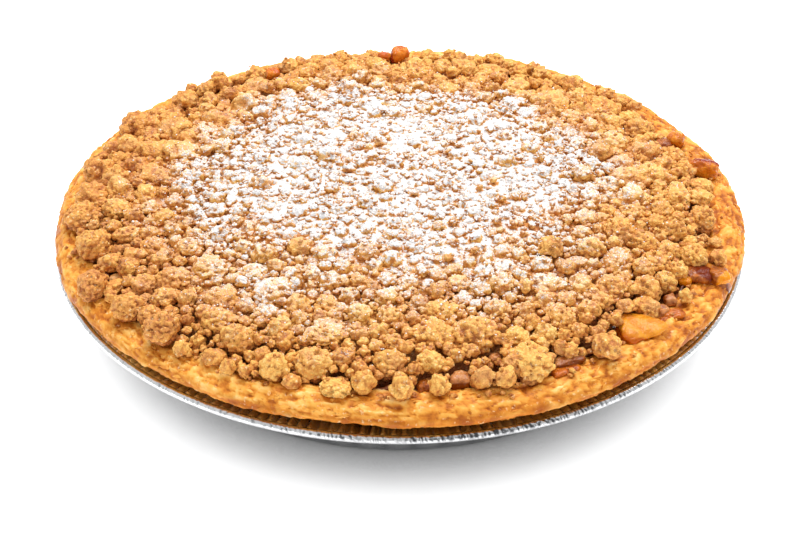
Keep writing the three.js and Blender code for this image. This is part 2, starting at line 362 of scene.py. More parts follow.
# ---------------------------------------------------------------- outlines shared by the pieces
EDGE_WAVES = [(2, 0.16, 0.4), (5, 0.17, 2.1), (9, 0.15, 1.2), (14, 0.12, 4.0), (23, 0.1, 0.7)]
LIFT_WAVES = [(3, 0.3, 1.1), (4, 0.25, 3.7), (7, 0.22, 0.3), (13, 0.16, 5.2)]
CREST_WAVES = [(4, 0.35, 2.6), (6, 0.3, 0.2), (11, 0.3, 4.4), (17, 0.22, 1.5)]
LIP_WAVES = [(3, 0.5, 0.9), (8, 0.45, 2.2), (13, 0.4, 5.0), (21, 0.3, 0.6)]
FOOT_WAVES = [(1, 2.6, 4.276), (4, 0.6, 0.8), (7, 0.5, 2.4), (12, 0.55, 4.9), (19, 0.45, 1.3)]
BARE = [(-23, 5.5, 6.0), (-36, 5.0, 5.0), (-45, 5.5, 6.5), (-61, 4.0, 4.0), (-73, 2.5, 2.5), (-80, 3.0, 4.6), (-86, 2.5, 4.2), (-100, 2.5, 3.0), (-154, 6.0, 3.0), (11, 4.0, 3.2), (21, 3.5, 2.0), (90, 3.0, 1.6)]
DIPS = [(-46.5, 84.5, 8.0, 2.4), (-1.0, 95.5, 8.0, 2.2)]
# Juice soaked into the pastry rim: x, y, half width and how dark.
STAINS = [(52.3, -101.5, 3.8, 0.75), (57.5, -98.5, 2.6, 0.5), (89.0, -71.6, 3.8, 0.8), (93.5, -65.5, 2.6, 0.6), (77.3, -84.6, 3.4, 0.35), (26.2, -118.1, 1.6, 0.7), (10.6, -113.6, 3.2, 0.35), (101.5, -53.0, 5.0, 0.45), (-96.0, 60.0, 4.0, 0.3), (-101.0, -62.0, 3.0, 0.3), (20.0, 114.5, 4.5, 0.5), (-58.0, 100.0, 3.6, 0.45), (111.0, 20.0, 3.6, 0.5)]
FILL_Z = 38.4


def bare(a):
    d = np.zeros_like(a)
    for b, w, depth in BARE:
        t = np.angle(np.exp(1j * (a - math.radians(b))))
        d = np.maximum(d, depth * np.exp(-((t / math.radians(w)) ** 2)))
    return d


def foot(a):
    return 112.3 + wave(a, FOOT_WAVES) + 1.8 * np.exp(-((np.angle(np.exp(1j * (a - 1.05))) / 0.55) ** 2))


def heap(x, y):
    """Height of the tops of the crumbs over the point x, y."""
    r, a = np.hypot(x, y), np.arctan2(y, x)
    t = r / foot(a)
    z = 54.2 - 9.0 * t**3.2 - 3.2 * step(t, 0.9, 1.02) ** 1.3 - 1.6 * step(y, 20, 70) * step(t, 0.78, 0.94)
    for dx, dy, wide, depth in DIPS:
        z = z - depth * np.exp(-((x - dx) ** 2 + (y - dy) ** 2) / wide**2)
    return z


def rest(r):
    """Height of what lies under the crumbs at radius r: the filling, then the pastry rim."""
    return np.interp(r, [0, 95, 104, 107.5, 109.5, 111.5, 114, 117, 119.5, 121], [36, 36, 38.2, 38.6, 39.4, 40.1, 40.2, 39.7, 38.7, 37.2])


# ---------------------------------------------------------------- materials
def pan_material():
    m = Mat("foil")
    crinkle = m.noise(260, 4, 0.6, 0.4)
    fine = m.noise(1500, 2, 0.5)
    rolled = m.noise(90, 2, 0.5)
    tone = m.span(crinkle, 0.3, 0.7, 0.0, 1.0)
    base = m.mix(tone, (0.68, 0.685, 0.695), (0.82, 0.825, 0.835))
    # The foil is painted darker where the attribute crease is high: painted shade in the flutes, the pressed rings and
    # on the outer wall, and painted dark reflections in the bead's crimps.
    m.set(Base_Color=m.mix(m.math("MULTIPLY", m.attr("painted_foil_shade"), 0.95), base, (0.030, 0.030, 0.034)), Metallic=1.0)
    m.set(Roughness=m.span(rolled, 0.3, 0.7, 0.14, 0.30))
    n = m.bump(crinkle, 0.35, 0.0004)
    m.set(Normal=m.bump(fine, 0.12, 0.0001, n))
    return m.m


def crust_material():
    m = Mat("baked_pastry")
    wide = m.noise(55, 3, 0.55)
    mid = m.noise(210, 4, 0.6, 0.3)
    fine = m.noise(1100, 3, 0.6)
    flakes = m.cells(260, "F1")
    tint = m.math("ADD", m.math("MULTIPLY", wide, 0.45), m.math("MULTIPLY", mid, 0.40))
    tint = m.math("ADD", tint, m.math("MULTIPLY", fine, 0.15))
    # height lightens what stands out of the rim's relief and darkens its hollows: painted highlight and painted shade,
    # with a random tone for each flake.
    tint = m.math("ADD", tint, m.math("MULTIPLY", m.math("SUBTRACT", m.attr("height"), 0.5), 0.62))
    base = m.ramp(
        tint,
        [
            (0.24, (0.34, 0.078, 0.006)),
            (0.38, (0.59, 0.190, 0.017)),
            (0.48, (0.72, 0.282, 0.034)),
            (0.58, (0.81, 0.385, 0.066)),
            (0.70, (0.87, 0.500, 0.137)),
            (0.84, (0.92, 0.655, 0.275)),
        ],
    )
    speck = m.span(m.noise(520, 3, 0.7), 0.60, 0.70, 0.0, 0.6)
    base = m.mix(speck, base, (0.30, 0.080, 0.012))
    # low darkens the rim towards its bottom and underside: painted shade, with the juice stains added in.
    base = m.mix(m.span(m.attr("low"), 0.0, 1.0, 0.0, 0.92), base, m.mix(m.span(mid, 0.4, 0.6), (0.36, 0.082, 0.002), (0.54, 0.155, 0.005)))
    pale = m.span(m.noise(640, 2, 0.6), 0.62, 0.74, 0.0, 0.5)
    base = m.mix(pale, base, (0.95, 0.72, 0.40))
    m.set(Base_Color=base, Roughness=m.span(mid, 0.35, 0.7, 0.42, 0.66), Specular_IOR_Level=0.20)
    n = m.bump(mid, 0.45, 0.0012)
    n = m.bump(flakes, 0.35, 0.0008, n)
    m.set(Normal=m.bump(fine, 0.45, 0.0003, n))
    return m.m


def sugar_mix(m, base, up):
    """Powdered sugar over a base colour, where it fell: on what faces up and isn't sheltered."""
    dust = m.attr("dust")
    lie = m.span(up, 0.16, 0.78, 0.02, 1.0)
    amount = m.math("MULTIPLY", dust, lie)
    grain = m.span(m.noise(1500, 3, 0.75), 0.30, 0.70, 0.0, 1.0, smooth=False)
    patch = m.span(m.noise(340, 2, 0.5), 0.30, 0.70, -0.18, 0.18, smooth=False)
    grain = m.math("ADD", grain, patch)
    cover = m.span(m.math("SUBTRACT", amount, grain), -0.07, 0.09, 0.0, 1.0)
    cover = m.math("MULTIPLY", cover, m.span(amount, 0.01, 0.08))
    veil = m.math("MULTIPLY", m.span(amount, 0.02, 0.45, 0.0, 0.55), m.span(m.noise(2200, 2, 0.6), 0.38, 0.62, 0.35, 1.0))
    base = m.mix(veil, base, (0.92, 0.78, 0.62))
    return m.mix(cover, base, (0.79, 0.775, 0.77)), cover


def crumb_material(name):
    m = Mat(name)
    wide = m.noise(75, 2, 0.5)
    mid = m.noise(330, 3, 0.6)
    fine = m.noise(1500, 3, 0.6)
    grains = m.cells(900, "F1")
    small = m.cells(1900, "F1")
    up = m.up()
    tint = m.math("ADD", m.math("MULTIPLY", wide, 0.22), m.math("MULTIPLY", mid, 0.22))
    tint = m.math("ADD", tint, m.math("MULTIPLY", fine, 0.28))
    tint = m.math("ADD", tint, 0.02)
    tint = m.math("ADD", tint, m.math("MULTIPLY", m.attr("tone"), 0.13))
    # crest: painted highlight on the tops of the grains and painted shade in the pits between them.
    tint = m.math("ADD", tint, m.math("MULTIPLY", m.math("SUBTRACT", m.attr("painted_relief_shade"), 0.50), 0.22))
    # Painted highlight in the middle of each small cell and painted shade along its borders, over the bumped grains.
    tint = m.math("ADD", tint, m.math("MULTIPLY", m.math("SUBTRACT", 0.45, grains), 0.24))
    # deep: painted shade in the hollows between the crumbs.
    tint = m.math("SUBTRACT", tint, m.math("MULTIPLY", m.attr("deep"), 0.16))
    base = m.ramp(
        tint,
        [
            (0.22, (0.44, 0.135, 0.030)),
            (0.35, (0.63, 0.240, 0.048)),
            (0.46, (0.77, 0.348, 0.071)),
            (0.57, (0.88, 0.466, 0.100)),
            (0.70, (0.95, 0.618, 0.192)),
            (0.84, (0.97, 0.765, 0.400)),
        ],
    )
    rosy = m.span(m.noise(120, 2, 0.5), 0.52, 0.68, 0.0, 0.40)
    base = m.mix(rosy, base, (0.72, 0.350, 0.130))
    # Painted highlights: small cream spots on the grains.
    painted_granule_highlights = m.span(m.math("SUBTRACT", 0.34, m.cells(640)), 0.0, 0.16, 0.0, 0.55)
    base = m.mix(m.math("MULTIPLY", painted_granule_highlights, m.span(mid, 0.46, 0.60)), base, (0.98, 0.80, 0.48))
    # deep also mixes in a dark brown: painted shade in the hollows.
    base = m.mix(m.math("MULTIPLY", m.attr("deep"), 0.62), base, (0.36, 0.105, 0.018))
    base, cover = sugar_mix(m, base, up)
    m.set(Base_Color=base, Roughness=0.58, Specular_IOR_Level=0.4)
    n = m.bump(m.math("SUBTRACT", 1.0, grains), 0.8, 0.0007)
    n = m.bump(m.math("SUBTRACT", 1.0, small), 0.6, 0.0003, n)
    m.set(Normal=m.bump(fine, 0.55, 0.0003, n))
    return m.m


def sugar_material():
    m = Mat("powdered_sugar")
    n = m.noise(900, 2, 0.5)
    m.set(Base_Color=m.mix(n, (0.90, 0.885, 0.865), (0.97, 0.965, 0.955)), Roughness=0.7, Specular_IOR_Level=0.35)
    m.set(Normal=m.bump(n, 0.3, 0.0002))
    return m.m


def filling_material():
    m = Mat("apple_syrup")
    wide = m.noise(90, 3, 0.55, 0.6)
    streak = m.noise(320, 3, 0.6, 1.2)
    tint = m.math("ADD", m.math("MULTIPLY", wide, 0.6), m.math("MULTIPLY", streak, 0.4))
    base = m.ramp(
        tint,
        [
            (0.25, (0.045, 0.009, 0.004)),
            (0.42, (0.12, 0.028, 0.010)),
            (0.53, (0.25, 0.075, 0.022)),
            (0.64, (0.42, 0.165, 0.060)),
            (0.80, (0.58, 0.270, 0.120)),
        ],
    )
    m.set(Base_Color=base, Roughness=m.span(streak, 0.3, 0.7, 0.12, 0.26), Specular_IOR_Level=0.40)
    m.set(Subsurface_Weight=0.35, Subsurface_Radius=(1.0, 0.35, 0.15), Subsurface_Scale=0.0025)
    n = m.bump(wide, 0.4, 0.0016)
    m.set(Normal=m.bump(streak, 0.3, 0.0006, n))
    return m.m


def syrup_material():
    m = Mat("set_syrup")
    wide = m.noise(160, 3, 0.55, 0.8)
    base = m.ramp(wide, [(0.30, (0.12, 0.026, 0.007)), (0.46, (0.27, 0.072, 0.018)), (0.57, (0.44, 0.145, 0.024)), (0.70, (0.70, 0.280, 0.030))])
    m.set(Base_Color=base, Roughness=0.14, Specular_IOR_Level=0.24)
    m.set(Subsurface_Weight=0.25, Subsurface_Radius=(1.0, 0.3, 0.1), Subsurface_Scale=0.002)
    m.set(Normal=m.bump(m.noise(420, 3, 0.6), 0.35, 0.0007))
    return m.m


def apple_material(name, low, high, edge):
    """Cooked apple: low and high are its colours, edge the colour of one side of it (the attribute rim): painted shade
    on the lower side of most pieces, a browned edge and red skin on the others.
    """
    m = Mat(name)
    wide = m.noise(210, 3, 0.55, 0.6)
    fibre = m.noise(620, 3, 0.6, 1.0)
    tint = m.math("ADD", m.math("MULTIPLY", wide, 0.65), m.math("MULTIPLY", fibre, 0.35))
    base = m.mix(m.span(tint, 0.40, 0.60), low, high)
    base = m.mix(m.span(m.math("ADD", m.attr("rim"), m.math("MULTIPLY", m.math("SUBTRACT", wide, 0.5), 0.5)), 0.35, 0.75), base, edge)
    m.set(Base_Color=base, Roughness=m.span(fibre, 0.3, 0.7, 0.10, 0.26), Specular_IOR_Level=0.24)
    m.set(Subsurface_Weight=0.3, Subsurface_Radius=(1.0, 0.5, 0.2), Subsurface_Scale=0.0012)
    n = m.bump(wide, 0.5, 0.0016)
    m.set(Normal=m.bump(fibre, 0.5, 0.0007, n))
    return m.m


# ---------------------------------------------------------------- the foil pan
FLUTES = 60
RIBS = 222
BRIM_WAVES = [(2, 0.5, 1.0), (3, 0.4, 2.0), (5, 0.3, 0.4)]


def ring_faces(counts):
    """Triangles between rings of points that follow each other, where a ring has as many points as the one before, or twice or half as many."""
    first = np.r_[0, np.cumsum(counts)]
    out = []
    for i in range(len(counts) - 1):
        n, m = counts[i], counts[i + 1]
        a, b = first[i], first[i + 1]
        if n == m:
            k = np.arange(n)
            l = (k + 1) % n
            out += [np.stack([a + k, a + l, b + l], 1), np.stack([a + k, b + l, b + k], 1)]
        elif m == 2 * n:
            k = np.arange(n)
            l = (k + 1) % n
            out += [np.stack([a + k, b + 2 * k + 1, b + 2 * k], 1), np.stack([a + k, a + l, b + 2 * k + 1], 1), np.stack([a + l, b + 2 * l, b + 2 * k + 1], 1)]
        elif n == 2 * m:
            k = np.arange(m)
            l = (k + 1) % m
            out += [np.stack([a + 2 * k, a + 2 * k + 1, b + k], 1), np.stack([b + k, a + 2 * k + 1, b + l], 1), np.stack([a + 2 * k + 1, a + 2 * l, b + l], 1)]
        elif n == 1:
            k = np.arange(m)
            out.append(np.stack([np.full(m, a), b + (k + 1) % m, b + k], 1))
        else:
            k = np.arange(n)
            out.append(np.stack([a + k, a + (k + 1) % n, np.full(n, b)], 1))
    return np.concatenate(out)


def make_pan():
    low = [(r, 0.0, 330) for r in (14, 28.4, 29.2, 30, 30.8, 31.6, 45, 58.4, 59.2, 60, 60.8, 61.6, 72, 82, 83, 83.8, 84.6, 85.6, 87.5)]
    low += [(88.8, 0.0, 660), (89.8, 0.12, 660), (90.6, 0.5, 660), (91.2, 1.2, 660)]
    wall = [(r, z, 660) for r, z in spline([(91.8, 2.2), (97.8, 10.0), (104.3, 19.0), (109.7, 26.5)], 9)]
    bend = [(110.4, 27.5, 1320), (111.1, 28.1, 1320), (111.9, 28.35, 1320)]
    brim = [(r, 28.42, 1320) for r in (113, 115.0, 117.2, 119.2)] + [(119.8, 28.1, 1320), (120.1, 27.8, 1320)]
    top = [(119.3, 28.66, 1320), (117.6, 28.64, 1320), (115.6, 28.64, 1320), (113.5, 28.62, 1320), (112.2, 28.56, 1320), (111.2, 28.34, 1320)]
    inner = [(110.3, 27.75, 660), (108.4, 25.2, 660), (104.2, 19.3, 660), (97.8, 10.4, 660), (91.4, 1.9, 660), (90.0, 1.05, 330)]
    floor_in = [(88.0, 0.9, 330), (60, 0.9, 330), (30, 0.9, 330)]
    profile = [(0, 0, 1)] + low + wall + bend + brim + top + inner + floor_in + [(0, 0.9, 1)]
    counts = [p[2] for p in profile]
    r = np.concatenate([np.full(n, float(a)) for a, _, n in profile])
    z = np.concatenate([np.full(n, float(b)) for _, b, n in profile])
    A = np.concatenate([np.arange(n) / n * TAU for n in counts])
    # the wall's flutes, deepest at its top, a little uneven
    on_wall = (0.30 * step(r, 90.6, 96.0) + 0.70 * step(r, 92.0, 107.0)) * (1 - step(r, 111.2, 112.6))
    ridge = np.abs(np.cos(FLUTES / 2 * A))
    uneven = 1 + 0.3 * smooth_noise(np.stack([np.cos(A) * 9, np.sin(A) * 9, z * 0.05], 1), 3)
    r = r + 0.95 * on_wall * (2 * ridge**0.8 - 1.2) * uneven + 0.22 * on_wall * np.cos(2 * FLUTES * A + 0.6 + 1.5 * np.sin(5 * A)) * (2 - uneven)
    # the brim's radial ribs
    on_brim = step(r, 111.4, 112.6) * (1 - step(r, 118.9, 119.6)) * (z > 28.0)
    ribs = np.cos(RIBS * A + 0.35 * np.sin(7 * A)) * (0.85 + 0.3 * np.sin(23 * A + 1.0))
    z = z + on_brim * np.sign(ribs) * np.abs(ribs) ** 0.8 * 0.55
    z = z + 0.18 * step(r, 100, 112) * wave(A, BRIM_WAVES) * (z > 20)
    # rings pressed in the base, which is raised a hair inside its edge
    on_base = (z < 0.6) & (r < 88)
    rings = np.exp(-(((r - 83.8) / 0.9) ** 2)) + np.exp(-(((r - 60.0) / 0.9) ** 2)) + np.exp(-(((r - 30.0) / 0.9) ** 2))
    z = z + np.where(on_base, 0.55 * rings + 0.12 * (1 - (r / 88.0) ** 2), 0)
    v = np.stack([r * np.cos(A), r * np.sin(A), z], axis=-1)
    # Painted shade: the outer wall is painted darker, most in the valleys of its flutes, standing for the shadowed
    # floor it reflects and the shade in its folds.
    painted_shade = np.where((np.arange(len(r)) < 1 + sum(n for _, _, n in low + wall)) & (r > 88.0), 0.68 + 0.26 * (1 - ridge) ** 1.5 * step(z, 0.5, 4.0), 0.0)
    # Painted shade in the rings pressed in the base.
    painted_shade = painted_shade + np.where(on_base, 0.38 * rings, 0)
    o = make_mesh("foil_pan_shell", v, ring_faces(counts), {"painted_foil_shade": painted_shade})
    clean(o)
    return o


def clean(o, dist=1e-6):
    """Merges the points that meet on the axis."""
    import bmesh

    bm = bmesh.new()
    bm.from_mesh(o.data)
    bmesh.ops.remove_doubles(bm, verts=bm.verts, dist=dist)
    bmesh.ops.recalc_face_normals(bm, faces=bm.faces)
    bm.to_mesh(o.data)
    bm.free()
    o.data.polygons.foreach_set("use_smooth", np.ones(len(o.data.polygons), dtype=bool))
    o.data.update()


def make_bead():
    """The rolled edge: a foil roll whose surface is crimped into slanting wrinkles, most on its inner upper side."""
    cols, rows = 2400, 11
    a = np.arange(cols) / cols * TAU
    t = np.radians([-150, -95, -50, -15, 12, 32, 52, 72, 95, 130, 170])
    T, A = np.meshgrid(t, a, indexing="ij")
    round_ = np.stack([np.cos(A).ravel(), np.sin(A).ravel(), np.zeros(A.size)], 1)
    up_z = np.stack([np.zeros(A.size), np.zeros(A.size), np.ones(A.size)], 1)
    warp = smooth_noise(round_ * 26 + up_z, 9).reshape(A.shape)
    slant = smooth_noise(round_ * 11 + 3 * up_z, 10).reshape(A.shape)
    crimp = np.sin(430 * A + (1.2 + 3.4 * slant) * np.sin(T - 0.5) + 9.0 * warp)
    odd = smooth_noise(round_ * 260 + np.sin(T).ravel()[:, None] * 2.1 * up_z, 11).reshape(A.shape)
    gate = smooth_noise(round_ * 48 + (np.sin(T).ravel()[:, None] * 1.6 + 5) * up_z, 12).reshape(A.shape)
    rough = fractal(round_ * 170 + T.ravel()[:, None] * 1.6 * up_z, 31, 2).reshape(A.shape)
    inner = np.exp(-(((T - 0.74) / 0.72) ** 4))
    front = np.exp(-((np.angle(np.exp(1j * (A + math.radians(76)))) / 0.56) ** 2))
    thin = 0.52 * (1 - front)
    stroke = step(0.60 * crimp + 1.15 * odd - thin, -0.20, 0.50) * inner * (0.40 + 0.60 * step(gate - 0.4 * thin, -0.55, 0.15)) * (0.50 + 0.50 * front)
    dent = -0.30 * stroke + 0.07 * rough - 0.06 * np.clip(crimp, -1, 1) * inner
    rad = 1.38 + dent
    lift = 0.18 * wave(A, BRIM_WAVES)
    r = 120.95 + rad * np.cos(T) * 1.02
    z = 28.95 + rad * np.sin(T) * 1.02 + lift
    v = np.stack([r * np.cos(A), r * np.sin(A), z], axis=-1).reshape(-1, 3)
    # Painted dark reflections in the bead's crimps and painted grey shade over its rougher patches, both heavier
    # towards the front.
    painted_foil_shade = np.clip((0.72 + 0.53 * front) * stroke + (0.22 + 0.38 * step(rough, -0.2, 0.5)) * (0.22 + 0.78 * front), 0, 1)
    return make_mesh("foil_pan_bead", v, grid_faces(rows, cols, close_rows=True)[:, ::-1], {"painted_foil_shade": painted_foil_shade.ravel()})


# ---------------------------------------------------------------- the pastry shell
def soften(h, rows, cols):
    """h averaged over a patch of the grid; the columns close on themselves."""
    for axis, n in ((1, cols), (0, rows)):
        total = h.copy()
        for k in range(1, n + 1):
            total = total + np.roll(h, k, axis) + np.roll(h, -k, axis)
        h = total / (2 * n + 1)
    return h


def make_crust():
    cols, rows = 1120, 58
    a = np.arange(cols) / cols * TAU
    loop = spline(
        [(108.4, 28.6), (110.6, 29.3), (113.2, 29.45), (116.6, 31.2), (119.6, 33.0), (121.0, 33.6), (121.7, 34.4), (121.8, 35.6), (121.3, 37.0), (120.1, 38.2), (118.2, 39.1), (115.8, 39.75), (113.0, 39.95), (110.9, 39.6), (109.3, 38.8), (107.6, 37.2), (106.0, 34.8), (105.6, 31.5), (108.4, 28.6)],
        rows + 1,
        lambda r, z: 0.22 + 0.78 * step(z, 31.0, 33.0) * step(r, 107.0, 109.0),
    )[:-1]
    d = np.roll(loop, -1, axis=0) - np.roll(loop, 1, axis=0)
    n = np.stack([d[:, 1], -d[:, 0]], axis=1)
    n /= np.linalg.norm(n, axis=1)[:, None]
    along = np.r_[0, np.cumsum(np.linalg.norm(np.diff(loop, axis=0), axis=1))]
    R = np.repeat(loop[:, 0][:, None], cols, axis=1)
    Z = np.repeat(loop[:, 1][:, None], cols, axis=1)
    S = np.repeat(along[:, None], cols, axis=1)
    NR = np.repeat(n[:, 0][:, None], cols, axis=1)
    NZ = np.repeat(n[:, 1][:, None], cols, axis=1)
    A = np.repeat(a[None, :], rows, axis=0)
    shape = A.shape
    shown = step(Z, 31.5, 33.4) * step(R, 107.0, 109.5)  # the part of the loop that can be seen
    face = step(R, 119.0, 121.2)
    topside = step(Z, 37.6, 39.2)
    arc = A * 118.0
    P = np.stack([R * np.cos(A), R * np.sin(A), Z], axis=-1).reshape(-1, 3)
    turn = np.stack([np.cos(A).ravel() * 118, np.sin(A).ravel() * 118, S.ravel()], 1)  # closes on itself round the rim
    bend = np.stack([smooth_noise(P / 3.6, 61), smooth_noise(P / 3.6, 62), smooth_noise(P / 3.6, 63)], 1)
    # uneven outline
    R = R + shown * wave(A, EDGE_WAVES) * step(R, 112, 120)
    Z = Z + step(R, 112, 118) * wave(A, LIFT_WAVES) * step(Z, 31, 33.2) * (1 - topside) + topside * wave(A, CREST_WAVES) * 0.9
    # lumps and pebbles
    lumps = fractal(P / 6.0 + 0.3 * bend, 51, 3).reshape(shape)
    g1, g2, gw = cell_noise(P / 3.1 + 0.4 * bend, 75)
    pebble = (np.sqrt(np.clip(0.95 - g1, 0, 1)) * (0.35 + 0.65 * gw)).reshape(shape)
    s1, s2, sw = cell_noise(P / 1.7 + 0.3 * bend, 76)
    small = ((0.7 - s1) * (0.3 + 0.7 * sw)).reshape(shape)
    grain = fractal(P / 1.2, 81, 2).reshape(shape)
    # ledges of torn dough, longer along the rim than across it
    tier = fractal(turn / (9.0, 9.0, 2.7) + 0.45 * bend, 125, 2).reshape(shape) * 3.2
    low_step = np.floor(tier)
    ledge = low_step + step(tier - low_step, 0.42, 0.58)
    # broken flakes: plates that lie a little higher or lower than their neighbours
    q1, q2, qw = cell_noise(turn / (5.2, 5.2, 2.4) + 0.4 * bend, 141)
    plate = ((qw - 0.5) * 0.9 - 0.35 * (1 - step(q2 - q1, 0.0, 0.12))).reshape(shape)
    k1, k2, kw = cell_noise(turn / (2.4, 2.4, 1.5) + 0.3 * bend, 151)
    chip = ((kw - 0.5) * 0.8 - 0.2 * (1 - step(k2 - k1, 0.0, 0.15))).reshape(shape)
    b1, b2, bw = cell_noise(P / 8.6, 161)
    knob = (np.sqrt(np.clip(0.85 - b1, 0, 1)) * (0.3 + 0.7 * bw) - 0.25).reshape(shape) * step(R, 110.5, 113.5)
    # layers that split along the outer face
    split = S / 1.9 + 0.9 * smooth_noise(turn / (13.0, 13.0, 9.0), 90).reshape(shape)
    layer = step(np.abs((split % 1.0) - 0.5) * 2, 0.15, 0.75)
    gate = step(smooth_noise(turn / (8.0, 8.0, 4.0), 92).reshape(shape), -0.35, 0.35)
    crack = 1 - step(np.abs(smooth_noise(turn / (10.0, 10.0, 2.6) + 0.3 * bend, 95)).reshape(shape), 0.0, 0.07)
    out = 0.50 * lumps + 0.16 * pebble - 0.08 + 0.16 * small + 0.12 * grain + 0.22 * ledge + 0.54 * plate + 0.38 * chip
    out = out + (0.36 + 0.80 * step(np.sin(A), -0.3, 0.4)) * knob * (1 - 0.5 * face)
    out = out + face * 0.40 * (layer - 0.5) * (0.3 + 0.7 * gate) - 0.40 * crack * gate
    out = np.clip(out, -1.6, 1.5) * shown * (1 - 0.25 * face)
    R2 = np.minimum(R + NR * out, 122.5)
    Z2 = Z + NZ * out
    v = np.stack([R2 * np.cos(A), R2 * np.sin(A), Z2], axis=-1).reshape(-1, 3)
    # height: painted highlight on what stands out of the relief and painted shade in its hollows, from the relief
    # against a blurred copy of it, plus a random tone for each flake.
    height = 0.5 + 0.50 * (out - soften(out, 3, 4)) + 0.22 * (soften(out, 1, 1) - soften(out, 6, 9)) + 0.16 * (qw - 0.5).reshape(shape) + 0.14 * (kw - 0.5).reshape(shape)
    # Painted shade: the right side of the rim is painted darker.
    height = np.clip(height - 0.13 * step(np.cos(A), 0.40, 0.90), 0, 1)
    # low: painted shade, darkest along the lower outer face and the underside over the brim, and lessened on the right
    # side; the juice stains below are added to it.
    low = (0.30 + 0.70 * step(Z2, 31.5, 34.2)) * (1 - step(Z2, 34.6, 38.8)) * (0.80 + 0.5 * smooth_noise(P / 7.0, 131).reshape(shape))
    low = low * (1 - 0.45 * step(np.cos(A), 0.40, 0.90))
    soak = 0.65 + 0.7 * smooth_noise(P / 1.8, 171).reshape(shape)
    for sx, sy, wide, dark in STAINS:
        low = low + dark * soak * np.exp(-(((v[:, 0] - sx) ** 2 + (v[:, 1] - sy) ** 2) / wide**2)).reshape(shape) * step(Z2, 36.0, 38.5)
    rim = make_mesh("pastry_rim", v, grid_faces(rows, cols, close_rows=True)[:, ::-1], {"height": height.ravel(), "low": np.clip(low, 0, 1).ravel()})
    return rim, make_flakes(v.reshape(rows, cols, 3), shown, np.clip(low, 0, 1))


def make_flakes(grid, shown, low):
    """Thin flakes of pastry that have come loose along the ledges of the rim, each half sunk in it."""
    g = np.random.default_rng(404)
    rows, cols = shown.shape
    V, F, H, L = [], [], [], []
    first, made = 0, 0
    while made < 320:
        i, j = int(g.integers(1, rows - 1)), int(g.integers(0, cols))
        if shown[i, j] < 0.95:
            continue
        at = grid[i, j]
        if at[2] < 35.0 or math.hypot(at[0], at[1]) < 112.0 or (at[1] > 45 and at[2] > 38.5):
            continue
        made += 1
        along = grid[i, (j + 2) % cols] - grid[i, j - 2]
        along /= np.linalg.norm(along)
        across = grid[(i + 1) % rows, j] - grid[i - 1, j]
        across -= along * (across @ along)
        across /= np.linalg.norm(across)
        n = np.cross(along, across)
        if n @ np.array([at[0], at[1], (at[2] - 34.0) * 30]) < 0:
            n = -n
        t = g.normal() * 0.30
        e1 = along * math.cos(t) + across * math.sin(t)
        e2 = np.cross(n, e1)
        tip = g.normal(size=2) * 0.08
        up = n + e1 * tip[0] + e2 * tip[1]
        up /= np.linalg.norm(up)
        e1 = e1 - up * (e1 @ up)
        e2 = np.cross(up, e1)
        half, wide, thick = g.uniform(0.8, 2.4), g.uniform(0.4, 1.0), g.uniform(0.08, 0.22)
        k = 9
        a = (np.arange(k) + g.uniform(-0.45, 0.45, k)) / k * TAU
        out = g.uniform(0.35, 1.25, k)
        ring = (np.cos(a) * half * out)[:, None] * e1 + (np.sin(a) * wide * out)[:, None] * e2
        inner = ring * 0.72
        top = at + up * thick
        V += [top[None] + up * 0.06, top + inner, at - up * 0.10 + ring, at - up * 0.5 + inner, at[None] - up * 0.5]
        b = first + 1
        q = np.arange(k)
        q2 = (q + 1) % k
        F += [
            np.stack([np.full(k, first), b + q, b + q2], 1),
            np.stack([b + q, b + k + q, b + k + q2], 1), np.stack([b + q, b + k + q2, b + q2], 1),
            np.stack([b + k + q, b + 2 * k + q, b + 2 * k + q2], 1), np.stack([b + k + q, b + 2 * k + q2, b + k + q2], 1),
            np.stack([b + 2 * k + q, np.full(k, b + 3 * k), b + 2 * k + q2], 1),
        ]
        # Each flake is painted darker on its lower ring and underside, painted shade, and takes the painted shade and
        # juice stains of the rim under it.
        tone = g.uniform(0.36, 0.70)
        H.append(np.r_[tone, np.full(k, tone), np.full(k, tone - 0.12), np.full(k + 1, 0.3)])
        L.append(np.full(3 * k + 2, low[i, j] * 0.8))
        first += 3 * k + 2
    return make_mesh("pastry_flakes", np.concatenate(V), np.concatenate(F), {"height": np.concatenate(H), "low": np.concatenate(L)}, smooth=False)


# ---------------------------------------------------------------- the filling
def make_filling():
    """The cooked filling where it shows: a lumpy, glossy ring under and round the foot of the crumbs."""
    cols = 440
    radii = np.r_[np.linspace(86, 109.2, 22), 108.0, 98.0, 87.0]
    rows = len(radii)
    A = np.repeat((np.arange(cols) / cols * TAU)[None, :], rows, axis=0)
    R = np.repeat(radii[:, None], cols, axis=1) + 0.8 * wave(A, LIP_WAVES)
    on_top = np.repeat((np.arange(rows) < 22)[:, None], cols, axis=1)
    p = np.stack([(R * np.cos(A)).ravel(), (R * np.sin(A)).ravel(), np.zeros(A.size)], 1)
    f1, f2, who = cell_noise(p / 6.0, 111)
    lumps = (step(0.75 - f1, 0, 0.6) * (0.5 + who)).reshape(A.shape)
    z = FILL_Z - 1.8 + 1.9 * lumps + 0.6 * fractal(p / 4.0, 115, 3).reshape(A.shape) + 1.6 * step(R, 104.5, 108.5)
    z = np.where(on_top, z, 33.0)
    v = np.stack([(R * np.cos(A)).ravel(), (R * np.sin(A)).ravel(), z.ravel()], 1)
    return make_mesh("filling_floor", v, grid_faces(rows, cols, close_rows=True))


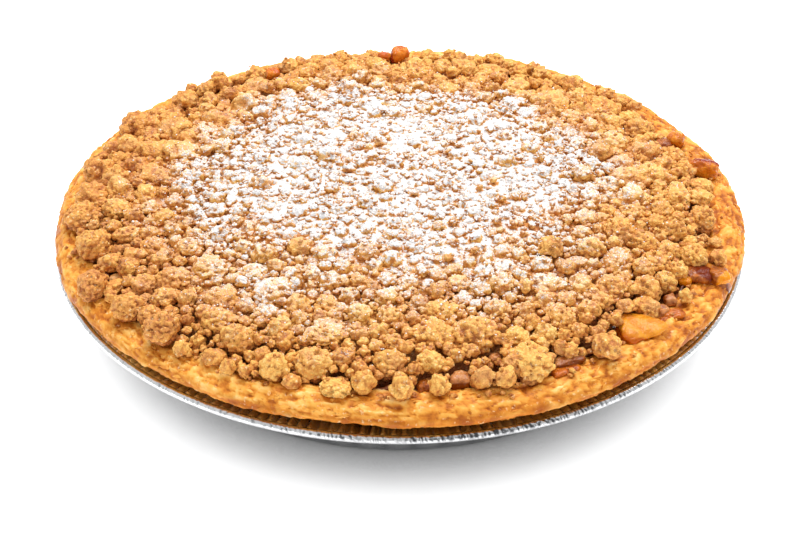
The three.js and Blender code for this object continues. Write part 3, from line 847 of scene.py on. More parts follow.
# ---------------------------------------------------------------- apple pieces
# node: (centre x, y, z; half sizes; turn about Z; lean; level of detail; material; which way its coloured rim lies,
# painted shade on most pieces)
AMBER = ("amber", (0.46, 0.110, 0.004), (0.72, 0.25, 0.016), (0.50, 0.10, 0.003))
RED = ("red_edge", (0.44, 0.098, 0.004), (0.70, 0.235, 0.014), (0.24, 0.016, 0.004))
BRICK = ("brick", (0.50, 0.100, 0.006), (0.76, 0.25, 0.022), (0.28, 0.03, 0.006))
YELLOW = ("yellow", (0.60, 0.200, 0.010), (0.70, 0.285, 0.022), (0.50, 0.108, 0.002))
ROSE = ("rose", (0.26, 0.062, 0.008), (0.58, 0.25, 0.085), (0.20, 0.040, 0.001))
BROWN = ("brown", (0.20, 0.038, 0.004), (0.48, 0.140, 0.016), (0.16, 0.018, 0.003))
JELLY = ("jelly", (0.22, 0.044, 0.003), (0.50, 0.145, 0.010), (0.76, 0.270, 0.006))
RUST = ("rust", (0.26, 0.045, 0.003), (0.50, 0.125, 0.006), (0.48, 0.112, 0.004))
TAN = ("tan", (0.66, 0.30, 0.085), (0.82, 0.49, 0.20), (0.60, 0.23, 0.040))
APPLE = {
    "apple_piece_back": ((90.0, 105.2, 44.6), (3.6, 3.0, 3.3), 12, 14, 3, BRICK, (-0.8, 0.2, -0.4)),
    "apple_piece_back_left": ((118.5, 105.0, 43.0), (2.8, 2.4, 2.0), 20, 8, 3, BRICK, (0, 0, -1)),
    "apple_wedge_right_back": ((10.3, 112.3, 42.5), (5.6, 3.3, 3.5), -14, -10, 4, RED, (0.35, 0.75, 0.6)),
    "apple_piece_right_back_inner": ((20.7, 103.8, 42.5), (3.4, 2.7, 2.1), 10, 6, 3, BROWN, (0, 0, -1)),
    "apple_piece_right_back_rim": ((21.9, 110.8, 42.4), (3.2, 2.9, 2.5), -25, 4, 3, AMBER, (0, 0, -1)),
    "apple_piece_right": ((-24.6, 110.6, 39.7), (5.0, 4.7, 2.7), -20, -4, 3, BROWN, (0.6, 0.2, 0.5)),
    "apple_piece_right_rim": ((-24.2, 117.7, 40.9), (3.2, 3.3, 2.2), 15, 5, 3, JELLY, (0.75, -0.65, -0.1)),
    "apple_dice_right_front_upper": ((-35.2, 109.0, 40.9), (2.1, 2.1, 2.0), 15, 8, 3, ROSE, (0, 0, -1)),
    "apple_dice_right_front_lower": ((-38.6, 109.8, 40.6), (2.2, 2.1, 1.9), 35, -5, 3, ROSE, (0, 0, -1)),
    "apple_piece_right_front": ((-37.8, 113.4, 40.1), (3.6, 2.3, 1.1), 14, 9, 3, RUST, (-0.7, -0.4, -0.4)),
    "apple_slice_front_right": ((-45.1, 110.7, 40.7), (7.8, 6.0, 2.7), 10, 6, 4, YELLOW, (-0.46, -0.62, -0.62)),
    "apple_piece_front_right": ((-60.9, 109.4, 40.2), (5.3, 2.8, 1.9), 24, 5, 4, ROSE, (0.5, -0.9, -0.4)),
    "apple_piece_front": ((-79.9, 108.3, 40.6), (3.3, 3.0, 3.0), -8, 6, 3, ROSE, (0.1, -0.8, -0.75)),
    "apple_slice_front": ((-85.9, 108.6, 39.5), (2.5, 2.8, 2.0), 10, -4, 3, BROWN, (0, 0, -1)),
    "apple_piece_left": ((-157.6, 106.9, 41.2), (3.6, 3.1, 2.6), 24, 6, 3, TAN, (0, 0, -1)),
    "apple_piece_left_front": ((-151.3, 107.1, 41.0), (3.0, 2.7, 2.3), -30, -6, 3, TAN, (0, 0, -1)),
}


def turn_z(t):
    c, s = math.cos(t), math.sin(t)
    return np.array([[c, -s, 0], [s, c, 0], [0, 0, 1]])


def turn_x(t):
    c, s = math.cos(t), math.sin(t)
    return np.array([[1, 0, 0], [0, c, -s], [0, s, c]])


def make_apples():
    made, mats = [], {}
    for i, (node, (at, half, spin, lean, level, kind, rim)) in enumerate(APPLE.items()):
        v, f = icosphere(level)
        power = 3.0 if level == 4 else 3.3
        k = 1 / (np.abs(v) ** power).sum(1) ** (1 / power)
        p = v * k[:, None]
        dent = 1 + 0.05 * np.sin(3.1 * p[:, 0] + 1.7 * p[:, 1]) + 0.04 * np.sin(4.3 * p[:, 2] - 2.2 * p[:, 0] + 1.0)
        dent += 0.17 * fractal(p * 1.5 + 7.7 * i, 200 + i, 3) + 0.06 * fractal(p * 4.5, 230 + i, 2)
        q = p * dent[:, None] * np.array(half)
        if node == "apple_slice_front_right":  # a wedge, thinner and narrower to one end
            q[:, 1] *= 1.0 - 0.42 * p[:, 0] - 0.10 * p[:, 0] ** 2
            q[:, 2] *= 1.0 - 0.22 * p[:, 0]
        q = q @ turn_x(math.radians(lean)).T @ turn_z(math.radians(spin)).T
        way = np.array(rim, dtype=float)
        way /= np.linalg.norm(way)
        # rim: the side of each piece that takes its edge colour, on most pieces the lower side, where it is painted
        # shade.
        edge = step((v @ turn_x(math.radians(lean)).T @ turn_z(math.radians(spin)).T) @ way, -0.15, 0.75)
        b = math.radians(at[0])
        q += (at[1] * math.cos(b), at[1] * math.sin(b), at[2])
        o = make_mesh("cooked_" + node, q, f, {"rim": edge})
        if kind[0] not in mats:
            mats[kind[0]] = apple_material("apple_" + kind[0], *kind[1:])
        o.data.materials.append(mats[kind[0]])
        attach(o, "root")
        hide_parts(node)
        made.append(o)
    return made


def make_bits():
    """Two small cubes of apple in the gap at the front, and set syrup beside the piece right of it."""
    out = []
    for i, (b, r, z, half, kind) in enumerate([(-72.8, 102.0, 42.3, (2.2, 1.9, 1.9), ROSE), (-74.9, 101.0, 41.4, (1.7, 1.8, 1.6), BROWN), (-62.4, 112.7, 39.7, (5.2, 2.2, 0.9), RUST), (-40.2, 112.9, 39.7, (3.4, 2.1, 0.8), RUST), (-27.6, 107.8, 40.4, (2.0, 2.4, 1.4), JELLY), (93.3, 105.4, 43.6, (2.7, 2.0, 2.1), BRICK)]):
        v, f = icosphere(3)
        k = 1 / (np.abs(v) ** 2.8).sum(1) ** (1 / 2.8)
        p = v * k[:, None]
        q = p * (1 + 0.16 * fractal(p * 1.6 + 5.1 * i, 270 + i, 3))[:, None] * np.array(half)
        a = math.radians(b)
        q = q @ turn_z(a + math.pi / 2).T + (r * math.cos(a), r * math.sin(a), z)
        # The bits take their edge colour on the lower side, painted shade; the jelly bit takes it evenly.
        o = make_mesh("apple_bit_" + str(i + 1), q, f, {"rim": step(-v[:, 2], -0.2, 0.7) if kind is not JELLY else np.full(len(v), 0.62)})
        known = bpy.data.materials.get("apple_" + kind[0])
        o.data.materials.append(known or apple_material("apple_" + kind[0], *kind[1:]))
        out.append(o)
    return out


def make_syrup_run():
    """Syrup that boiled over the pastry rim at the right and set there."""
    cols, rows = 32, 46
    u = np.linspace(0, 1, cols)
    w = np.linspace(0, 1, rows)
    W, U = np.meshgrid(w, u, indexing="ij")
    mid = math.radians(-23.1)
    width = 4.6 + 1.2 * np.sin(3.0 * W + 0.4) - 2.6 * step(W, 0.62, 1.0)
    r = 105.5 + W * 16.2
    a = mid + (U - 0.5) * 2 * width / 112.0 + 0.012 * np.sin(5 * W)
    level = np.interp(r, [105, 107.5, 109.5, 111.5, 114, 117, 119.5, 121, 121.9], [38.6, 38.9, 39.6, 40.2, 40.4, 39.9, 38.9, 37.5, 36.4])
    bank = np.clip(1 - (2 * np.abs(U - 0.5)) ** 2.4, 0, 1) * np.clip(np.minimum(W * 6, (1 - W) * 7), 0, 1)
    p = np.stack([(r * np.cos(a)).ravel(), (r * np.sin(a)).ravel(), np.zeros(r.size)], 1)
    thick = (1.25 + 0.55 * fractal(p / 3.0, 305, 3).reshape(r.shape)) * bank - 0.35
    z = level + thick
    v = np.stack([r * np.cos(a), r * np.sin(a), z], -1).reshape(-1, 3)
    low = v.copy()
    low[:, 2] = level.ravel() - 1.2
    n = len(v)
    f = grid_faces(rows, cols, close_cols=False)
    rim = np.concatenate([np.arange(cols), np.arange(1, rows) * cols + cols - 1, (rows - 1) * cols + np.arange(cols - 2, -1, -1), np.arange(rows - 2, 0, -1) * cols])
    nxt = np.roll(rim, -1)
    side = np.stack([rim, rim + n, nxt + n, nxt], 1)
    o = make_mesh("syrup_run", np.vstack([v, low]), np.concatenate([f[:, ::-1], f + n, side]))
    clean(o)
    return o


# ---------------------------------------------------------------- crumbs
# The larger crumbs that the heap's edge shows: centre x, y, z, half width and half height, in mm.
MARKED = [
    (-39.1, -104.2, 43.9, 4.7, 4.8), (-27.1, -101.4, 43.0, 6.6, 5.4), (-33.6, -109.0, 42.2, 3.1, 2.5), (-19.8, -111.0, 41.8, 5.0, 2.0),
    (-11.1, -110.9, 43.3, 3.6, 4.1), (0.7, -114.4, 43.5, 3.7, 4.2), (-3.0, -102.5, 43.8, 5.3, 5.0), (-18.0, -100.5, 44.9, 3.8, 3.8),
    (-3.1, -83.3, 46.9, 4.8, 5.3), (-12.5, -81.6, 47.9, 4.5, 4.1), (-23.3, -90.1, 47.5, 6.7, 2.6), (-1.8, -94.9, 46.7, 3.5, 3.1),
    (-7.1, -96.9, 46.9, 2.7, 2.3), (-12.7, -91.8, 47.4, 2.7, 2.7), (-38.4, -86.6, 45.8, 4.5, 4.6), (-32.2, -83.4, 47.4, 3.2, 3.7),
    (-45.6, -100.9, 41.9, 2.2, 2.5), (-98.8, -0.3, 45.0, 5.0, 4.6), (-99.0, -13.6, 45.9, 5.2, 3.6), (-93.2, -31.6, 46.6, 4.6, 2.9),
    (-85.0, -32.8, 47.4, 3.4, 3.4), (-77.1, -33.0, 48.3, 3.7, 3.6), (-90.9, -49.6, 45.0, 3.7, 3.5), (-90.9, -21.3, 47.4, 2.8, 3.2),
    (-86.6, -17.4, 48.6, 3.5, 2.5), (-68.4, -26.9, 50.2, 2.7, 2.6), (-89.4, -44.2, 46.2, 4.2, 3.0), (-73.8, -10.7, 49.9, 2.8, 2.9),
    (-79.3, -47.8, 47.0, 4.3, 3.5), (89.0, 25.0, 46.2, 6.2, 4.1), (90.3, 8.1, 46.5, 6.1, 4.1), (102.5, 16.1, 42.7, 4.3, 4.9),
    (107.7, 8.6, 42.1, 4.7, 2.5), (106.4, -1.3, 43.0, 4.3, 2.7), (105.1, -16.2, 42.7, 5.2, 5.3), (97.1, -6.2, 44.1, 5.6, 5.8),
    (90.5, -16.1, 45.8, 4.2, 4.7), (94.0, -28.6, 44.3, 5.0, 5.3), (99.6, -39.4, 42.6, 4.9, 5.0), (108.0, -38.9, 42.2, 3.4, 2.7),
    (108.5, -28.1, 41.5, 2.6, 1.7), (93.5, -47.6, 41.9, 3.9, 4.4), (88.1, -54.4, 42.7, 4.0, 4.1), (94.4, -61.9, 42.3, 2.3, 2.7),
    (80.5, -69.0, 42.3, 4.6, 3.7), (88.5, 44.6, 45.0, 5.2, 3.7), (78.9, 29.3, 47.9, 5.1, 3.6), (96.0, 4.6, 46.9, 2.1, 2.2),
    (40.8, -99.4, 42.9, 7.5, 5.4), (25.8, -108.8, 43.4, 3.6, 4.1), (33.0, -108.4, 43.1, 3.6, 3.6), (12.3, -112.1, 42.9, 3.4, 3.5),
    (17.8, -100.0, 45.8, 2.6, 2.7), (22.0, -98.2, 46.0, 3.0, 2.8), (10.0, -102.2, 44.6, 4.4, 3.6), (65.2, -91.5, 43.3, 4.8, 3.9),
    (50.7, -93.1, 43.8, 2.8, 2.5), (-101.8, -56.5, 43.4, 5.3, 4.5), (-88.6, -70.7, 43.9, 5.5, 4.7), (-76.0, -84.5, 44.5, 5.8, 5.4),
    (-69.4, -91.9, 42.4, 2.7, 3.0), (-66.9, -92.6, 41.3, 1.4, 1.5), (-58.5, -95.9, 42.1, 4.1, 2.5), (-53.7, -101.2, 42.2, 2.5, 2.6),
    (-48.3, -103.5, 42.1, 2.3, 2.4), (-95.1, -62.6, 42.4, 2.6, 2.7), (-68.2, -80.1, 45.0, 2.4, 2.5), (-63.1, -77.2, 46.5, 3.2, 2.3),
    (-76.0, -67.4, 45.6, 4.9, 3.0), (-57.9, -81.0, 45.2, 5.8, 4.0), (-64.4, -87.9, 41.8, 2.9, 3.3), (-90.3, -50.9, 45.2, 3.3, 3.2),
    (46.7, -88.2, 44.8, 4.1, 4.2), (57.6, -86.1, 44.9, 2.9, 2.9), (69.5, -78.3, 44.2, 2.6, 2.6), (73.2, -72.1, 45.3, 3.2, 2.1),
    (46.2, -73.1, 48.0, 3.6, 3.2), (40.6, -78.4, 47.3, 3.2, 3.7), (65.6, -70.9, 46.5, 3.6, 2.7), (53.6, -93.5, 42.7, 3.2, 2.5),
    (65.4, -82.4, 44.7, 2.1, 1.9), (19.8, 105.2, 44.1, 2.9, 2.9), (24.0, 101.9, 44.2, 3.4, 3.2), (30.6, 100.6, 44.2, 3.0, 2.6),
    (38.5, 101.8, 44.2, 3.6, 2.8), (43.2, 96.7, 44.2, 2.7, 2.2), (52.1, 94.1, 44.2, 3.2, 2.9), (68.3, 84.0, 44.2, 3.4, 2.5),
    (79.4, 73.8, 44.2, 3.6, 2.2), (86.0, 69.0, 43.9, 3.5, 2.3), (89.7, 64.2, 43.9, 3.2, 2.2), (-74.5, 73.9, 46.2, 3.7, 2.7),
    (-70.0, 78.2, 46.8, 4.1, 3.3), (-63.1, 84.1, 44.4, 2.7, 2.1), (-56.5, 88.4, 44.5, 3.9, 3.5), (-42.9, 95.7, 43.6, 4.4, 3.9),
    (-39.3, 97.5, 45.6, 3.0, 2.1), (-33.7, 99.3, 43.9, 3.5, 2.5), (-23.5, 102.2, 44.1, 3.9, 3.5), (-16.9, 103.6, 43.5, 3.1, 2.1),
    (-12.9, 104.2, 43.5, 2.7, 2.0), (11.5, 104.5, 44.1, 3.3, 2.7), (-80.3, 78.4, 42.4, 3.1, 2.9), (-80.3, 63.6, 46.6, 3.2, 2.7),
    (-72.4, 61.2, 48.0, 3.8, 3.0), (-64.3, 65.3, 48.8, 3.2, 2.6), (-50.7, 68.4, 49.7, 3.1, 2.3), (-45.8, 70.1, 49.7, 3.1, 2.5),
    (-35.9, 80.9, 49.0, 3.2, 2.6), (-30.9, 69.8, 50.6, 2.7, 2.5), (-14.1, 74.7, 50.5, 3.8, 2.8), (-6.1, 81.8, 49.4, 4.3, 2.8),
    (6.7, 77.3, 50.4, 2.3, 2.1), (15.7, 85.4, 49.2, 3.1, 2.3), (55.4, 86.9, 45.0, 3.6, 3.3), (61.7, 84.7, 44.4, 3.5, 2.5),
    (66.9, 74.4, 45.8, 4.1, 4.4), (46.7, 87.9, 46.6, 3.1, 2.3), (37.6, 77.6, 49.0, 3.2, 2.5), (27.3, 83.8, 48.9, 3.5, 2.7),
    (38.9, 59.2, 51.3, 2.9, 2.3), (52.0, 73.6, 48.5, 2.0, 2.1), (20.3, 81.2, 49.7, 2.7, 2.2),
]


# Crumbs that stand out of the sugar: the same, and the share of the sugar that lies on each.
DUSTED = [
    (50.2, -46.5, 51.2, 4.8, 4.1, 0.12), (64.4, 0.3, 51.8, 4.1, 3.5, 0.6), (72.2, 17.3, 50.7, 4.7, 4.0, 0.5), (18.0, -34.3, 53.7, 1.9, 1.6, 0.25),
    (12.9, -36.7, 53.6, 2.2, 1.9, 0.4), (25.0, -51.3, 53.1, 1.7, 1.4, 0.2), (16.3, -54.9, 53.0, 1.8, 1.5, 0.2), (63.7, -45.5, 50.1, 5.0, 4.3, 0.7),
    (55.1, -57.7, 50.6, 3.1, 2.7, 0.5), (12.4, -72.6, 51.1, 3.6, 3.0, 0.5), (32.6, -67.3, 50.7, 4.6, 3.9, 0.8), (40.9, -68.5, 50.7, 2.8, 2.3, 0.5),
    (-25.4, 10.3, 53.0, 4.5, 3.8, 0.85), (-49.0, -7.6, 52.6, 4.0, 3.4, 0.45), (-11.0, 15.4, 54.0, 1.8, 1.5, 0.3), (-7.5, 18.5, 54.1, 1.6, 1.4, 0.1),
    (-23.9, -12.6, 53.6, 2.8, 2.4, 0.8), (-18.2, 0.5, 53.9, 2.1, 1.8, 0.7), (-11.6, -20.9, 53.4, 3.4, 2.9, 0.8), (-5.6, -11.6, 53.4, 3.7, 3.1, 0.8),
    (-68.4, -26.0, 50.5, 5.5, 4.7, 0.6), (-33.5, -47.9, 52.1, 4.3, 3.7, 0.35), (-45.0, -51.0, 51.3, 4.6, 4.0, 0.7), (-10.8, -51.6, 52.5, 4.1, 3.5, 0.6),
    (-55.7, 40.3, 52.2, 1.8, 1.6, 0.3), (-63.3, 27.6, 51.8, 2.9, 2.5, 0.5), (-69.8, 17.7, 51.6, 2.5, 2.1, 0.6), (-63.3, -16.1, 52.1, 2.9, 2.5, 0.7),
    (-52.4, -22.4, 53.1, 1.5, 1.3, 0.4), (50.4, 9.0, 53.4, 1.6, 1.4, 0.3), (27.6, -12.0, 54.1, 1.4, 1.2, 0.2), (35.2, -19.6, 53.8, 1.5, 1.3, 0.3),
    (32.6, -7.1, 54.0, 1.6, 1.3, 0.3), (14.0, -12.2, 54.2, 1.4, 1.2, 0.3), (5.0, -16.1, 54.1, 1.6, 1.3, 0.5), (40.2, -17.4, 53.7, 1.6, 1.3, 0.4),
    (33.0, -33.5, 53.6, 1.5, 1.3, 0.4), (38.3, -35.0, 53.3, 1.7, 1.4, 0.4),
]


# Dark hollows between the crumbs at the foot of the heap: x, y in mm.
HOLLOWS = [
    (-27.5, -109.1), (-19.0, -102.8), (-4.8, -110.6), (4.5, -101.3), (8.5, -109.1), (-98.8, -21.9), (-95.9, -13.4), (-105.0, -25.1), (-95.5, -1.4), (-82.1, -11.4),
    (-81.8, -28.9), (-104.3, -40.8), (-91.5, -51.7), (88.4, -57.7), (85.4, -64.1), (94.4, -32.1), (90.5, -17.4), (79.1, -41.4), (105.0, -23.8), (-46.1, -94.3),
]
# Wider ones, where apple shows: x, y and half width.
GAPS = [(28.6, -97.6, 3.4), (83.5, -66.5, 2.6), (89.5, -60.5, 2.6), (47.0, -99.5, 1.5), (29.5, -103.2, 2.4), (-47.8, 87.5, 2.6), (0.2, 99.5, 2.4), (-6.1, 105.0, 2.4)]


class Bed:
    """Places crumbs side by side: it knows the round footprint of each."""

    def __init__(self):
        self.cells, self.items = {}, []

    def near(self, x, y):
        cx, cy = int(x // 10), int(y // 10)
        for i in (-1, 0, 1):
            for j in (-1, 0, 1):
                yield from self.cells.get((cx + i, cy + j), ())

    def fits(self, x, y, r, share):
        for qx, qy, qr in self.near(x, y):
            s = (r + qr) * share
            if (qx - x) ** 2 + (qy - y) ** 2 < s * s:
                return False
        return True

    def add(self, x, y, r):
        self.cells.setdefault((int(x // 10), int(y // 10)), []).append((x, y, r))


def apple_spots():
    out = []
    for node, ((b, r, z), half, *_) in APPLE.items():
        b = math.radians(b)
        wide = max(half[0], half[1]) * 0.92
        if node == "apple_slice_front_right":
            out += [((r + 1.5) * math.cos(b + k), (r + 1.5) * math.sin(b + k), 4.2) for k in (-0.045, 0.0, 0.035)]
        else:
            out.append((r * math.cos(b), r * math.sin(b), wide))
    return out


def lay_crumbs():
    """Returns rows of x, y, z, half width, half depth, half height, share of the sugar."""
    bed, rows = Bed(), []
    for x, y, r in apple_spots():
        bed.add(x, y, r)
    for x, y in HOLLOWS:
        bed.add(x, y, 1.7)
    for x, y, w in GAPS:
        bed.add(x, y, w)
    for x, y, z, w, h in MARKED:
        bed.add(x, y, w)
        rows.append((x, y, z, w * 1.04, w * rng.uniform(0.88, 1.06), h * 1.04, 1.0))
    for x, y, z, w, h, share in DUSTED:
        if bed.fits(x, y, w, 0.6):
            bed.add(x, y, w)
            rows.append((x, y, z, w, w * rng.uniform(0.88, 1.06), h, share))

    def scatter(tries, r_low, r_high, near, far, share, sink, drop, skew=1.0, lower=0.0):
        for _ in range(tries):
            rad = math.sqrt(rng.uniform(near**2, far**2))
            a = rng.uniform(-math.pi, math.pi)
            size = r_low + (r_high - r_low) * rng.uniform() ** skew
            x, y = rad * math.cos(a), rad * math.sin(a)
            edge = float(foot(np.array(a)) - bare(np.array([a]))[0])
            flat = rng.uniform(0.72, 0.98)
            if rad + size * 0.55 > edge:
                continue
            if not bed.fits(x, y, size, share):
                continue
            bed.add(x, y, size)
            h = size * flat
            top = float(heap(x, y)) - rng.uniform(*drop) - lower * max(float(step(np.array(y), -10, 45)), 0.7 * float(step(np.array(-x), 58, 84)))
            z = max(top - h * sink, float(rest(rad)) + h * 0.7)
            rows.append((x, y, z, size * rng.uniform(0.92, 1.14), size * rng.uniform(0.88, 1.06), h, 1 - 0.55 * rng.uniform() ** 3))

    scatter(700, 5.0, 7.6, 80, 112, 0.80, 0.8, (-0.9, 0.5))
    scatter(3200, 3.6, 5.2, 66, 112, 0.82, 0.8, (-0.8, 0.9))
    scatter(90, 3.0, 4.0, 0, 66, 1.1, 0.75, (-0.9, 0.0))
    scatter(900, 2.2, 3.2, 0, 64, 0.98, 0.75, (-0.6, 0.7), 1.3)
    scatter(9000, 2.3, 3.6, 60, 113, 0.80, 0.8, (-0.5, 1.2), 1.4, 0.7)
    scatter(6000, 1.15, 1.9, 0, 66, 0.84, 0.7, (-0.1, 1.2), 1.2)
    scatter(26000, 1.3, 2.3, 62, 114, 0.74, 0.8, (0.0, 1.8), 1.2, 1.3)
    scatter(5000, 1.05, 1.6, 58, 106, 0.62, 0.8, (1.6, 3.2), 1.2, 1.3)
    scatter(2600, 1.0, 1.34, 84, 110, 0.62, 0.8, (3.2, 5.4), 1.0)
    return np.array(rows)


def ball(upper, lower, cut):
    """Points of a unit ball, upper of them above the height cut and lower below it, and the triangles between them."""
    import bmesh

    golden = math.pi * (3 - 5**0.5)
    pts = []
    for n, z0, z1 in ((upper, 1.0, cut), (lower, cut, -1.0)):
        k = np.arange(n)
        z = z0 + (z1 - z0) * (k + 0.5) / n
        r = np.sqrt(1 - z * z)
        pts.append(np.stack([r * np.cos(golden * k), r * np.sin(golden * k), z], 1))
    pts = np.concatenate(pts)
    bm = bmesh.new()
    for p in pts:
        bm.verts.new(p)
    bm.verts.ensure_lookup_table()
    bmesh.ops.convex_hull(bm, input=bm.verts)
    bmesh.ops.triangulate(bm, faces=bm.faces)
    bmesh.ops.recalc_face_normals(bm, faces=bm.faces)
    bm.verts.index_update()
    v = np.array([p.co for p in bm.verts])
    f = np.array([[q.index for q in t.verts] for t in bm.faces], dtype=np.int32)
    bm.free()
    return v / np.linalg.norm(v, axis=1)[:, None], f


def reach(v, balls):
    """How far the union of balls (rows of centre and radius) reaches from the origin along each direction v."""
    c, size = balls[:, :3], balls[:, 3]
    along = v @ c.T
    disc = size**2 - (c * c).sum(1) + along**2
    return np.where(disc > 0, along + np.sqrt(np.maximum(disc, 0)), 0).max(1)


def crumb_shape(v, g, lobes, grains, grain_r):
    """A ball of a few lobes, its surface covered with sunk grains. Returns the reach along v and how far up its grain each point is."""
    d = g.normal(size=(lobes, 3))
    d /= np.linalg.norm(d, axis=1)[:, None]
    bodies = np.hstack([d * g.uniform(0.22, 0.5, (lobes, 1)), g.uniform(0.40, 0.62, (lobes, 1))])
    bodies = np.vstack([[0, 0, 0, 0.74], bodies])
    k = np.arange(grains) + 0.5
    z = 1 - 2 * k / grains
    a = k * math.pi * (3 - 5**0.5)
    q = np.stack([np.sqrt(1 - z * z) * np.cos(a), np.sqrt(1 - z * z) * np.sin(a), z], 1) + g.normal(size=(grains, 3)) * 0.7 * grain_r
    q /= np.linalg.norm(q, axis=1)[:, None]
    size = grain_r * g.uniform(0.65, 1.35, grains)
    at = reach(q, bodies) + size * g.uniform(-0.45, 0.55, grains)
    bumps = np.hstack([q * at[:, None], size[:, None]])
    under = reach(v, bodies) * 0.94
    out = np.maximum(under, reach(v, bumps))
    # crest, how far up its grain a point stands, is used for painted highlight and painted shade.
    painted_relief_shade = np.clip((out - under) / (1.1 * grain_r), 0, 1)
    out = out * (1 + 0.08 * fractal(v * 1.2 + g.uniform(0, 99), int(g.integers(1, 9999)), 2))
    return out / np.percentile(out, 75), painted_relief_shade


def prototypes(number, upper, lower, cut, lobes, grains, grain_r, seed):
    v, f = ball(upper, lower, cut)
    g = np.random.default_rng(seed)
    made = []
    for _ in range(number):
        out, painted_relief_shade = crumb_shape(v, g, lobes, grains, grain_r)
        made.append((v * out[:, None], painted_relief_shade))
    return made, f


def clump(rows, protos, faces, g, tip=0.25):
    """Copies of the prototypes at rows, joined: (vertices, faces, crest, tone, share of the sugar)."""
    n = len(rows)
    pick = g.integers(0, len(protos), n)
    V, C, T, D = [], [], [], []
    for k in range(n):
        shape, painted_relief_shade = protos[pick[k]]
        spin = turn_x(g.normal() * tip) @ turn_z(g.uniform(0, TAU))
        V.append((shape @ spin.T) * rows[k, 3:6] + rows[k, 0:3])
        C.append(painted_relief_shade)
        T.append(np.full(len(painted_relief_shade), g.uniform()))
        D.append(np.full(len(painted_relief_shade), rows[k, 6] if rows.shape[1] > 6 else 1.0))
    per = len(protos[0][0])
    F = (faces[None] + (np.arange(n) * per)[:, None, None]).reshape(-1, 3)
    return np.concatenate(V), F, np.concatenate(C), np.concatenate(T), np.concatenate(D)


def make_core():
    """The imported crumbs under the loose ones: relief finer than the crumbs themselves."""
    n = 100
    ring, share, tris = disc_rings(n)
    a = share * TAU
    outer = foot(a) - 3.5 - 0.6 * bare(a)
    r = np.where(ring <= 70, ring * 0.88, 70 * 0.88 + (ring - 70) / (n - 70) * (outer - 70 * 0.88))
    x, y = r * np.cos(a), r * np.sin(a)
    p = np.stack([x, y, np.zeros_like(x)], 1)
    warp = 0.4 * np.stack([smooth_noise(p / 3, 431), smooth_noise(p / 3, 432), np.zeros(len(p))], 1)
    f1, f2, who = cell_noise(p / 4.4 + warp, 401)
    g1, g2, gw = cell_noise(p / 2.2 + warp, 411)
    h1, h2, hw = cell_noise(p / 1.35, 421)
    bumps = 1.7 * np.sqrt(np.clip(0.9 - f1, 0, 1)) * (0.35 + 0.65 * who) + 1.0 * (0.75 - g1) * (0.4 + 0.6 * gw) + 0.55 * (0.6 - h1) * (0.4 + 0.6 * hw)
    t = r / foot(a)
    deep = 2.1 + 2.1 * step(r, 52, 74) + 8.0 * step(t, 0.81, 0.93)
    z = heap(x, y) - deep + bumps
    z = np.maximum(z, 36.0)
    top = len(x)
    edge = np.where(ring == n)[0]
    v = np.stack([x, y, z], 1)
    v = np.vstack([v, np.stack([x[edge], y[edge], np.full(len(edge), 35.0)], 1), [[0, 0, 35.0]]])
    k = np.arange(len(edge))
    l = (k + 1) % len(edge)
    side = np.concatenate([np.stack([edge[k], top + k, edge[l]], 1), np.stack([edge[l], top + k, top + l], 1)])
    base = np.stack([top + k, np.full(len(k), len(v) - 1), top + l], 1)
    # crest: painted highlight on the core's bumps and painted shade between them, fading near its edge.
    painted_relief_shade = np.concatenate([np.clip(bumps / 2.2, 0, 1) * (1 - 0.9 * step(t, 0.8, 0.95)), np.zeros(len(edge) + 1)])
    # deep: painted shade, darker on the core's outer part, which lies low between the crumbs.
    deep = np.concatenate([0.25 * step(r, 50, 70) + 0.75 * step(t, 0.80, 0.95), np.ones(len(edge) + 1)])
    return v, np.concatenate([tris, side, base]), painted_relief_shade, deep


def dusting(x, y):
    """How much sugar fell at x, y, from 0 to 1: a loose patch over the middle of the pie."""
    p = np.stack([x, y, np.zeros_like(x)], 1)
    wander = 9.0 * fractal(p / 24.0, 501, 2) + 5.0 * smooth_noise(p / 8.0, 505)
    heart = np.hypot((x + 6.0) / 1.10, (y - 8.0) / 1.00) + wander
    whole = np.hypot((x + 1.0) / 1.08, (y + 8.0) / 1.00) + wander
    body = 0.57 * (1 - step(heart, 44, 73)) + 0.42 * (1 - step(whole, 57, 86)) + 0.24 * (1 - step(whole, 70, 112))
    body = body * (0.90 + 0.22 * smooth_noise(p / 13.0, 511) + 0.22 * smooth_noise(p / 5.0, 515))
    return np.clip(body, 0, 1.15)


class Sky:
    """The highest point over each small square, to tell what is open to the sky."""

    def __init__(self, size=0.9):
        self.s, self.n = size, int(260 / size)
        self.h = np.full((self.n, self.n), -1.0)
        self.mean = None

    def index(self, v):
        return (
            np.clip(((v[:, 0] + 130) / self.s).astype(int), 0, self.n - 1),
            np.clip(((v[:, 1] + 130) / self.s).astype(int), 0, self.n - 1),
        )

    def add(self, v):
        i, j = self.index(v)
        np.maximum.at(self.h, (i, j), v[:, 2])

    def open(self, v, depth=1.3):
        i, j = self.index(v)
        return 1 - step(self.h[i, j] - v[:, 2], 0.15, depth)

    def below(self, v, reach_mm=3.2):
        """How far each point lies below the mean of the tops around it."""
        if self.mean is None:
            k = int(round(reach_mm / self.s))
            self.mean = soften(np.maximum(self.h, 38.5), k, k)
        i, j = self.index(v)
        return self.mean[i, j] - v[:, 2]


